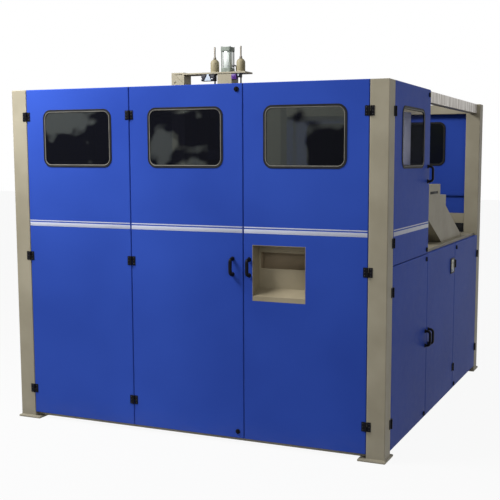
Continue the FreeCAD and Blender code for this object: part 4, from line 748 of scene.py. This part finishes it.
# a plate behind the cut-out in the head of the gantry's left column
RECESS_PLATE = (-0.618, -0.2118, 2.004), (-0.534, -0.2098, 2.080)
plain_piece("bracket_recess_plate", cream_paint, "cream_frame", 0.4 * MM, [RECESS_PLATE])

# a hood behind the pocket's slot, open to the front
HOOD_SHEET, HOOD_DEEP, SLOT_MARGIN = 0.002, 0.050, 0.022
SLOT_LOW, SLOT_HIGH = 0.950, 1.045
pocket_low, pocket_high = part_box("outlet_pocket")
slot_left, slot_right = pocket_low.x + SLOT_MARGIN, pocket_high.x - SLOT_MARGIN
hood_near, hood_back = pocket_high.y, pocket_high.y + HOOD_DEEP
hood_walls = [((slot_left, hood_back - HOOD_SHEET, SLOT_LOW), (slot_right, hood_back, SLOT_HIGH))]
for z in (SLOT_LOW, SLOT_HIGH + HOOD_SHEET):
    hood_walls.append(((slot_left, hood_near, z - HOOD_SHEET), (slot_right, hood_back, z)))
for x in (slot_left, slot_right + HOOD_SHEET):
    hood_walls.append(((x - HOOD_SHEET, hood_near, SLOT_LOW - HOOD_SHEET),
                       (x, hood_back, SLOT_HIGH + HOOD_SHEET)))
plain_piece("outlet_hood", hood_enamel, "cream_frame", 0.3 * MM, hood_walls, body_of("outlet_pocket"))

# a dark brush strip behind the slot in the hopper's side
BRUSH_IN, BRUSH_Z = (0.009, 0.0032), (1.318, 1.342)
BRUSH_ENDS = 0.012, 0.052
hopper_low, hopper_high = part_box("chute_hopper")
plain_piece("hopper_slot_brush", window_rubber, "black_fittings", 1.0 * MM,
            [((hopper_high.x - BRUSH_IN[0], hopper_low.y + BRUSH_ENDS[0], BRUSH_Z[0]),
              (hopper_high.x - BRUSH_IN[1], hopper_high.y - BRUSH_ENDS[1], BRUSH_Z[1]))])

# a dark strip with five clips closes the gap over the deck's rear edge
GAP_STRIP = (-1.026, 1.097, 1.0105), (1.026, 1.101, 1.0748)
CLIP_Y, CLIP_Z, CLIP_HALF = (1.0955, 1.0975), (1.058, 1.0745), 0.012
gap_strip = Shape("rear_gap_strip", window_rubber)
gap_strip.block(*GAP_STRIP, 1.0 * MM)
for clip_x in (-0.8, -0.4, 0.0, 0.4, 0.8):
    gap_strip.block((clip_x - CLIP_HALF, CLIP_Y[0], CLIP_Z[0]), (clip_x + CLIP_HALF, CLIP_Y[1], CLIP_Z[1]),
                    0.6 * MM)
gap_strip.done("cabinet", "black_fittings")

# blue sheet strips lie over the panels' seams inside, so no light comes through
STRIP_HALF, STRIP_THICK = 15 * MM, 1.5 * MM
LEVEL_SEAM, LEVEL_STRIP_END = 1.285, 1.028
REAR_SEAM_X, REAR_STRIPS = 0.3433, ((0.096, 0.939), (1.147, 1.269), (1.301, 1.854))
LEFT_SEAM_Y, LEFT_STRIPS = 0.3567, ((0.096, 0.939), (1.012, 1.854))
rear_inside, left_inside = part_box("rear_panels")[0].y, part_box("left_panels")[1].x
strips = [((-LEVEL_STRIP_END, rear_inside - STRIP_THICK, LEVEL_SEAM - STRIP_HALF),
           (LEVEL_STRIP_END, rear_inside, LEVEL_SEAM + STRIP_HALF))]
for side in (-1, 1):
    for z0, z1 in REAR_STRIPS:
        strips.append(((side * REAR_SEAM_X - STRIP_HALF, rear_inside - STRIP_THICK, z0),
                       (side * REAR_SEAM_X + STRIP_HALF, rear_inside, z1)))
    for z0, z1 in LEFT_STRIPS:
        strips.append(((left_inside, side * LEFT_SEAM_Y - STRIP_HALF, z0),
                       (left_inside + STRIP_THICK, side * LEFT_SEAM_Y + STRIP_HALF, z1)))
plain_piece("seam_strips", blue_paint, "blue_sheet", 0.4 * MM, strips)


# ---- blow station above the roof ----
CAP_LONG = 26 * MM
BARREL_RADIUS = 31 * MM


def blow_cylinder():
    """Two cast end caps on four tie rods with a drawn barrel between them and a port for the hose."""
    low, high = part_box("blow_cylinder")
    half_deep = (high.y - low.y) / 2
    middle = Vector((low.x + half_deep, (low.y + high.y) / 2, low.z))
    half = half_deep - 4 * MM
    shape = Shape("blow_cylinder_smooth", barrel_metal, cap_green, machined_steel)
    top = high.z - 5 * MM
    z0, z1 = low.z + CAP_LONG, top - CAP_LONG
    for cap, lip in (((low.z, z0), (z0 - 0.4 * MM, z0 + 2.6 * MM)),
                     ((z1, top), (z1 - 2.6 * MM, z1 + 0.4 * MM))):
        shape.plan_block(middle, half, 13 * MM, *cap, 1.2 * MM, 1)
        shape.plan_block(middle, half - 6 * MM, 20 * MM, *lip, 0.6 * MM, 1)
    long = z1 - z0
    shape.turned(Vector((middle.x, middle.y, z0)),
                 ((0, BARREL_RADIUS - 1 * MM), (2 * MM, BARREL_RADIUS), (long - 2 * MM, BARREL_RADIUS),
                  (long, BARREL_RADIUS - 1 * MM)), UP, 0, 40)
    reach = half - 7.5 * MM
    for sx in (-1, 1):
        for sy in (-1, 1):
            corner = Vector((middle.x + sx * reach, middle.y + sy * reach, z0 - 1 * MM))
            shape.turned(corner, ((0, 3.8 * MM), (long + 2 * MM, 3.8 * MM)), UP, 1, 14)
            corner.z = top
            shape.turned(corner, mm((0, 6.2), (3.2, 6.2), (4.0, 5.4)), UP, 2, 6)
            shape.turned(corner, mm((3.5, 3.4), (4.8, 3.0)), UP, 2, 12)
    shape.turned(Vector((middle.x, middle.y, top)), mm((0, 13), (1.5, 13), (2.4, 11)), UP, 2, 28)
    port = Vector((middle.x + half - 1 * MM, middle.y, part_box("cylinder_hose")[1].z - 4 * MM))
    shape.turned(port, mm((0, 8), (5, 8), (6, 6.4)) + [(high.x - port.x, 6.2 * MM)], SIDE.out, 2, 6)
    shape.done(body_of("blow_cylinder"), "machined_steel", "blow_cylinder")


HOSE_RADIUS = 4 * MM


def air_hose():
    """The short hose from the port down to its fitting on the roof plate."""
    low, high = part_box("cylinder_hose")
    y = (low.y + high.y) / 2
    drop_x, run_z = high.x - HOSE_RADIUS, high.z - HOSE_RADIUS
    bend = drop_x - low.x - 1.5 * MM
    line = [Vector((low.x - 1 * MM, y, run_z))]
    for k in range(CORNER_STEPS + 1):
        a = math.radians(90 - 90 * k / CORNER_STEPS)
        line.append(Vector((drop_x - bend + bend * math.cos(a), y, run_z - bend + bend * math.sin(a))))
    line.append(Vector((drop_x, y, low.z)))
    shape = Shape("cylinder_hose_smooth", hose_rubber, machined_steel)
    shape.swept(line, HOSE_RADIUS, FRONT.out)
    shape.turned(line[-1], mm((0, 6.5), (5, 6.5), (6.5, 5.2)), UP, 1, 6)
    shape.done(body_of("cylinder_hose"), "hose_rubber", "cylinder_hose")


STRETCH_BODY = mm((0, 26.6), (1.4, 27.6), (8, 27.8), (9, 27.2), (10, 27.8), (58, 27.9), (63, 27.5), (68, 26.2),
                  (72, 24.2), (76, 21.2), (79.5, 17.4), (82, 13.6), (83, 11.4))
STRETCH_COLLAR = mm((81.5, 9.6), (82.5, 10.6), (86, 10.6), (87, 9.0), (95, 8.8), (98, 7.6))


def stretch_bodies():
    """Moulded bodies with a round shoulder and a dark collar round the rod."""
    shape = Shape("stretch_cylinders_smooth", tan_moulding, rod_brown)
    for _, low, high in solids("stretch_cylinders"):
        shape.turned(foot_of(low, high), STRETCH_BODY, UP, 0, 40)
        shape.turned(foot_of(low, high), STRETCH_COLLAR, UP, 1, 28)
    shape.done(body_of("stretch_cylinders"), "tan_body", "stretch_cylinders")


def stretch_rods():
    """Rods with a rounded tip below and a small chamfer on top."""
    shape = Shape("stretch_rods_smooth", rod_brown)
    for _, low, high in solids("stretch_rods"):
        long = high.z - low.z
        shape.turned(foot_of(low, high), mm((0, 3.0), (2, 4.6), (5, 5.2)) + [(long - 2 * MM, 5.2 * MM),
                                                                            (long, 4.0 * MM)], UP, 0, 18)
    shape.done(body_of("stretch_rods"), "chromed_bar", "stretch_rods")


def valve_blocks():
    """A bank of three black valves with a light gusset cover, a purple coil and a small switch."""
    shape = Shape("valve_blocks_smooth", valve_black, valve_purple, valve_light, machined_steel)
    bank, coil, switch = sorted(solids("valve_blocks"), key=lambda s: s[1].x)
    low, high = bank[1], bank[2]
    third = (high.x - low.x) / 3
    for k in range(3):
        shape.block((low.x + k * third + 0.6 * MM, low.y, low.z),
                    (low.x + (k + 1) * third - 0.6 * MM, high.y, high.z - 6 * MM), 2.5 * MM)
    shape.block((low.x, low.y + 4 * MM, high.z - 10 * MM), high, 1.5 * MM)
    apex, base, tip = low.x + 0.52 * (high.x - low.x), 24 * MM, 5 * MM
    z0, z1 = low.z + 2 * MM, high.z - 2 * MM
    shape.ring_skin([[Vector((x, y, z)) for x, z in ((apex - base, z0), (apex + base, z0), (apex + tip, z1),
                                                     (apex - tip, z1))]
                     for y in (low.y - 3 * MM, low.y + 1 * MM)], 2)
    for x in (low.x + 0.2 * third, high.x - 0.5 * third):
        shape.turned(Vector((x, low.y, low.z + 12 * MM)), mm((-0.5, 4.5), (3, 4.5), (3.6, 3)), FRONT.out, 3, 12)
    low, high = coil[1], coil[2]
    shape.block(low, (high.x, high.y, high.z - 5 * MM), 3 * MM, 1)
    shape.block((low.x + 5 * MM, low.y + 5 * MM, high.z - 6 * MM), (high.x - 5 * MM, high.y, high.z), 1 * MM)
    shape.turned(front_middle(low, high), mm((-0.5, 9), (1.5, 9), (2.2, 7.6)), FRONT.out, 1, 20)
    low, high = switch[1], switch[2]
    shape.block(low, high, 2 * MM)
    shape.turned(front_middle(low, high), mm((-0.5, 5), (2.4, 5), (3, 4)), FRONT.out, 2, 14)
    shape.done(body_of("valve_blocks"), "valve_case", "valve_blocks")


blow_cylinder()
air_hose()
stretch_bodies()
stretch_rods()
valve_blocks()

# ---- panel meter in the side wall ----
BEZEL_RADIUS = 10 * MM
SCALE_RADIUS = 46 * MM
SCALE_START, SCALE_STEP, SCALE_MARKS = 45, 9, 11
POINTER_ANGLE, POINTER_LONG = 118, 40 * MM


def panel_meter():
    """A round-cornered bezel, a sunk face with a scale and a pointer, and the case behind the door."""
    wall = SIDE
    low, high = wall.spans(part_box("panel_meter"))
    face = wall.face
    middle = ((low[0] + high[0]) / 2, (low[2] + high[2]) / 2)
    half, proud = (high[0] - low[0]) / 2, high[1] - face
    shape = Shape("panel_meter_smooth", meter_case, meter_cream, valve_light)
    rim = face + proud
    shape.ring_skin(wall.outlines(middle, (half, half), BEZEL_RADIUS,
                                  ((0.0, face), (0.0, rim - 2 * MM), (0.8 * MM, rim - 0.6 * MM),
                                   (2.2 * MM, rim), (7.0 * MM, rim), (8.4 * MM, rim - 0.8 * MM),
                                   (8.6 * MM, rim - 3.2 * MM), (8.6 * MM, face))), closed=True)
    case, board, level = half - 3.5 * MM, half - 8 * MM, rim - 3.4 * MM
    shape.slab(wall, middle, (case, case), low[1], face - 2.5 * MM, 2 * MM)
    shape.slab(wall, middle, (board, board), face - 3 * MM, level, 0.5 * MM, 1)
    shape.slab(wall, (middle[0], middle[1] - board + 10.5 * MM), (board - 2 * MM, 8.5 * MM), level - 1 * MM,
               level + 1.4 * MM, 0.8 * MM, 2)

    def needle(degrees, start, end, out, thick):
        a = math.radians(degrees)
        shape.swept([wall.place(middle[0] - r * math.cos(a), level + out, middle[1] - 20 * MM + r * math.sin(a))
                     for r in (start, end)], thick, wall.out, 0, 6)

    for k in range(SCALE_MARKS):
        mark = 6 * MM if k % 5 == 0 else 4 * MM
        needle(SCALE_START + SCALE_STEP * k, SCALE_RADIUS, SCALE_RADIUS - mark, 0.25 * MM, 0.7 * MM)
    needle(POINTER_ANGLE, 0.0, POINTER_LONG, 1.2 * MM, 0.6 * MM)
    shape.turned(wall.place(middle[0], level + 1.2 * MM, middle[1] - board + 10 * MM),
                 mm((0, 5), (0.8, 5), (1.1, 4)), wall.out, 0, 18)
    shape.done(body_of("panel_meter"), "meter_case", "panel_meter")


panel_meter()

# ---- operator box: front panel, screen and keys ----
CONSOLE_TURN = Matrix.Translation((0.910, -0.530, 0.0)) @ Matrix.Rotation(math.radians(-14), 4, "Z")
CONSOLE_FACE = -0.040
PANEL_LEFT, PANEL_RIGHT, PANEL_LOW, PANEL_HIGH = -0.142, 0.138, 1.508, 1.780
SCREEN_LEFT, SCREEN_RIGHT, SCREEN_LOW, SCREEN_HIGH = 0.034, 0.131, 1.648, 1.742
SCREEN_GAP = 2.5 * MM
KEY_START, KEY_PITCH, KEY_SIZE = (0.054, 1.517), 0.021, (0.016, 0.015)
BAR_ENDS, BAR_LOW, BAR_PITCH, BAR_HIGH = (-0.120, -0.030), 1.540, 0.055, 0.035

panel = Shape("console_front_panel", panel_blue_grey, screen_black, key_grey, valve_light)


def on_console(x0, x1, z0, z1, near, far, edge, finish_index=0):
    """A slab on the operator box's front: it starts and ends near and far out of the face."""
    panel.block((x0, CONSOLE_FACE - far, z0), (x1, CONSOLE_FACE - near, z1), edge, finish_index, CONSOLE_TURN)


for ends in ((PANEL_LEFT, SCREEN_LEFT, PANEL_LOW, PANEL_HIGH),
             (SCREEN_RIGHT, PANEL_RIGHT, PANEL_LOW, PANEL_HIGH),
             (SCREEN_LEFT, SCREEN_RIGHT, SCREEN_HIGH, PANEL_HIGH),
             (SCREEN_LEFT, SCREEN_RIGHT, PANEL_LOW, SCREEN_LOW)):
    on_console(*ends, 0.0, 1.2 * MM, 0.4 * MM)
on_console(SCREEN_LEFT + SCREEN_GAP, SCREEN_RIGHT - SCREEN_GAP, SCREEN_LOW + SCREEN_GAP,
           SCREEN_HIGH - SCREEN_GAP, -3.8 * MM, -1.2 * MM, 0.6 * MM, 1)
for row in range(6):
    for column in range(3):
        x, z = KEY_START[0] + KEY_PITCH * column, KEY_START[1] + KEY_PITCH * row
        on_console(x, x + KEY_SIZE[0], z, z + KEY_SIZE[1], 0.8 * MM, 3.6 * MM, 1.2 * MM,
                   2 if (row + column) % 4 else 3)
for row in range(4):
    z = BAR_LOW + BAR_PITCH * row
    on_console(*BAR_ENDS, z, z + BAR_HIGH, 0.8 * MM, 2.4 * MM, 0.8 * MM, 1 if row == 3 else 2)
panel.done("cabinet", "black_fittings")


# ---- lamps in the heating tunnel ----
LAMPS = 6
LAMP_MARGIN = 20 * MM
BRACKET_WIDE = 18 * MM
CERAMIC_LONG = 34 * MM


def oven_lamps():
    """Six quartz tubes in ceramic ends, held by a bracket at each side."""
    low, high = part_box("oven_lamps")
    pitch = (high.z - low.z - 2 * LAMP_MARGIN) / (LAMPS - 1)
    shape = Shape("oven_lamps_smooth", lamp_quartz, lamp_ceramic, machined_steel)
    for x0 in (low.x, high.x - BRACKET_WIDE):
        shape.block((x0, low.y + 2 * MM, low.z), (x0 + BRACKET_WIDE, high.y, high.z), 1.5 * MM, 2)
    long = high.x - low.x - 2 * MM
    for k in range(LAMPS):
        start = Vector((low.x + 1 * MM, low.y + 9 * MM, low.z + LAMP_MARGIN + k * pitch))
        shape.turned(start, ((30 * MM, 5.3 * MM), (long - 30 * MM, 5.3 * MM)), SIDE.out, 0, 18)
        for near, far in ((0.0, CERAMIC_LONG), (long - CERAMIC_LONG, long)):
            shape.turned(start, ((near, 6.6 * MM), (near + 1.5 * MM, 7.6 * MM), (far - 1.5 * MM, 7.6 * MM),
                                 (far, 6.6 * MM)), SIDE.out, 1, 18)
    shape.done(body_of("oven_lamps"), "lamp_quartz", "oven_lamps")


oven_lamps()

# ---------------------------------------------------------------- stage
FLOOR_SIDE, FLOOR_DROP = 60, 0.5 * MM
FLOOR_GLOW_SHARE = 0.93
WORLD_LIGHT = 0.26

bpy.ops.mesh.primitive_plane_add(size=FLOOR_SIDE, location=(0, 0, cad_low.z - FLOOR_DROP))
floor = bpy.context.object
floor.name = "pale_floor"


def seen_directly(tree):
    """1 for rays from the camera and for what gloss and glass show of the surroundings."""
    rays = add_node(tree, "LightPath", {}).outputs
    total = rays["Is Camera Ray"]
    for other in ("Is Glossy Ray", "Is Transmission Ray"):
        total = maths(tree, "ADD", total, rays[other], clamp=True)
    return total


def floor_material():
    """White where it is seen directly, but for the share that keeps the shadow, and grey for other light."""
    material, tree, shader = new_material("pale_floor")
    fill(tree, shader, {"Base Color": FLOOR_GREY, "Roughness": 0.9})
    glow = add_node(tree, "Emission", {"Strength": 1.0})
    share = maths(tree, "MULTIPLY", seen_directly(tree), FLOOR_GLOW_SHARE)
    blend = add_node(tree, "MixShader", {0: share, 1: shader.outputs[0], 2: glow.outputs[0]})
    fill(tree, tree.nodes["Material Output"], {"Surface": blend.outputs[0]})
    return material


floor.data.materials.append(floor_material())

world = bpy.data.worlds.new("studio")
bpy.context.scene.world = world
world.use_nodes = True
sky = world.node_tree
strength = value_range(sky, seen_directly(sky), 0.0, 1.0, WORLD_LIGHT, 1.0)
fill(sky, sky.nodes["Background"], {"Color": (1.0, 1.0, 1.0), "Strength": strength})


def lamp(name, place, aim, size, power):
    data = bpy.data.lights.new(name, "AREA")
    data.shape = "RECTANGLE"
    data.size, data.size_y = size
    data.energy = power
    light = bpy.data.objects.new(name, data)
    bpy.context.scene.collection.objects.link(light)
    light.location = place
    light.rotation_mode = "QUATERNION"
    light.rotation_quaternion = (Vector(aim) - Vector(place)).to_track_quat("-Z", "Y")


lamp("key_lamp", (-1.7, -2.3, 3.5), (-0.7, -1.2, 2.1), (1.6, 1.0), 165)
lamp("front_lamp", (3.4, -5.2, 3.4), (0.5, -1.0, 1.5), (3.0, 2.4), 64)
lamp("rear_lamp", (-2.6, 5.5, 3.2), (0.0, 1.2, 1.0), (3.0, 2.4), 26)

camera_data = bpy.data.cameras.new("photo_camera")
camera = bpy.data.objects.new("photo_camera", camera_data)
bpy.context.scene.collection.objects.link(camera)
bpy.context.scene.camera = camera
camera_data.sensor_width = 36.0
camera_data.lens = CAMERA_LENS
camera_data.shift_x, camera_data.shift_y = CAMERA_SHIFT
camera_data.clip_end = 200.0
ahead = Vector((-math.sin(CAMERA_YAW) * math.cos(CAMERA_PITCH), math.cos(CAMERA_YAW) * math.cos(CAMERA_PITCH),
                math.sin(CAMERA_PITCH)))
right = Vector((math.cos(CAMERA_YAW), math.sin(CAMERA_YAW), 0.0))
upwards = right.cross(ahead)
tilted_right = math.cos(CAMERA_ROLL) * right + math.sin(CAMERA_ROLL) * upwards
tilted_up = math.cos(CAMERA_ROLL) * upwards - math.sin(CAMERA_ROLL) * right
turn = Matrix((tilted_right, tilted_up, -ahead)).transposed()
camera.matrix_world = Matrix.Translation(CAMERA_PLACE) @ turn.to_4x4()

bpy.context.scene.view_settings.view_transform = "Standard"
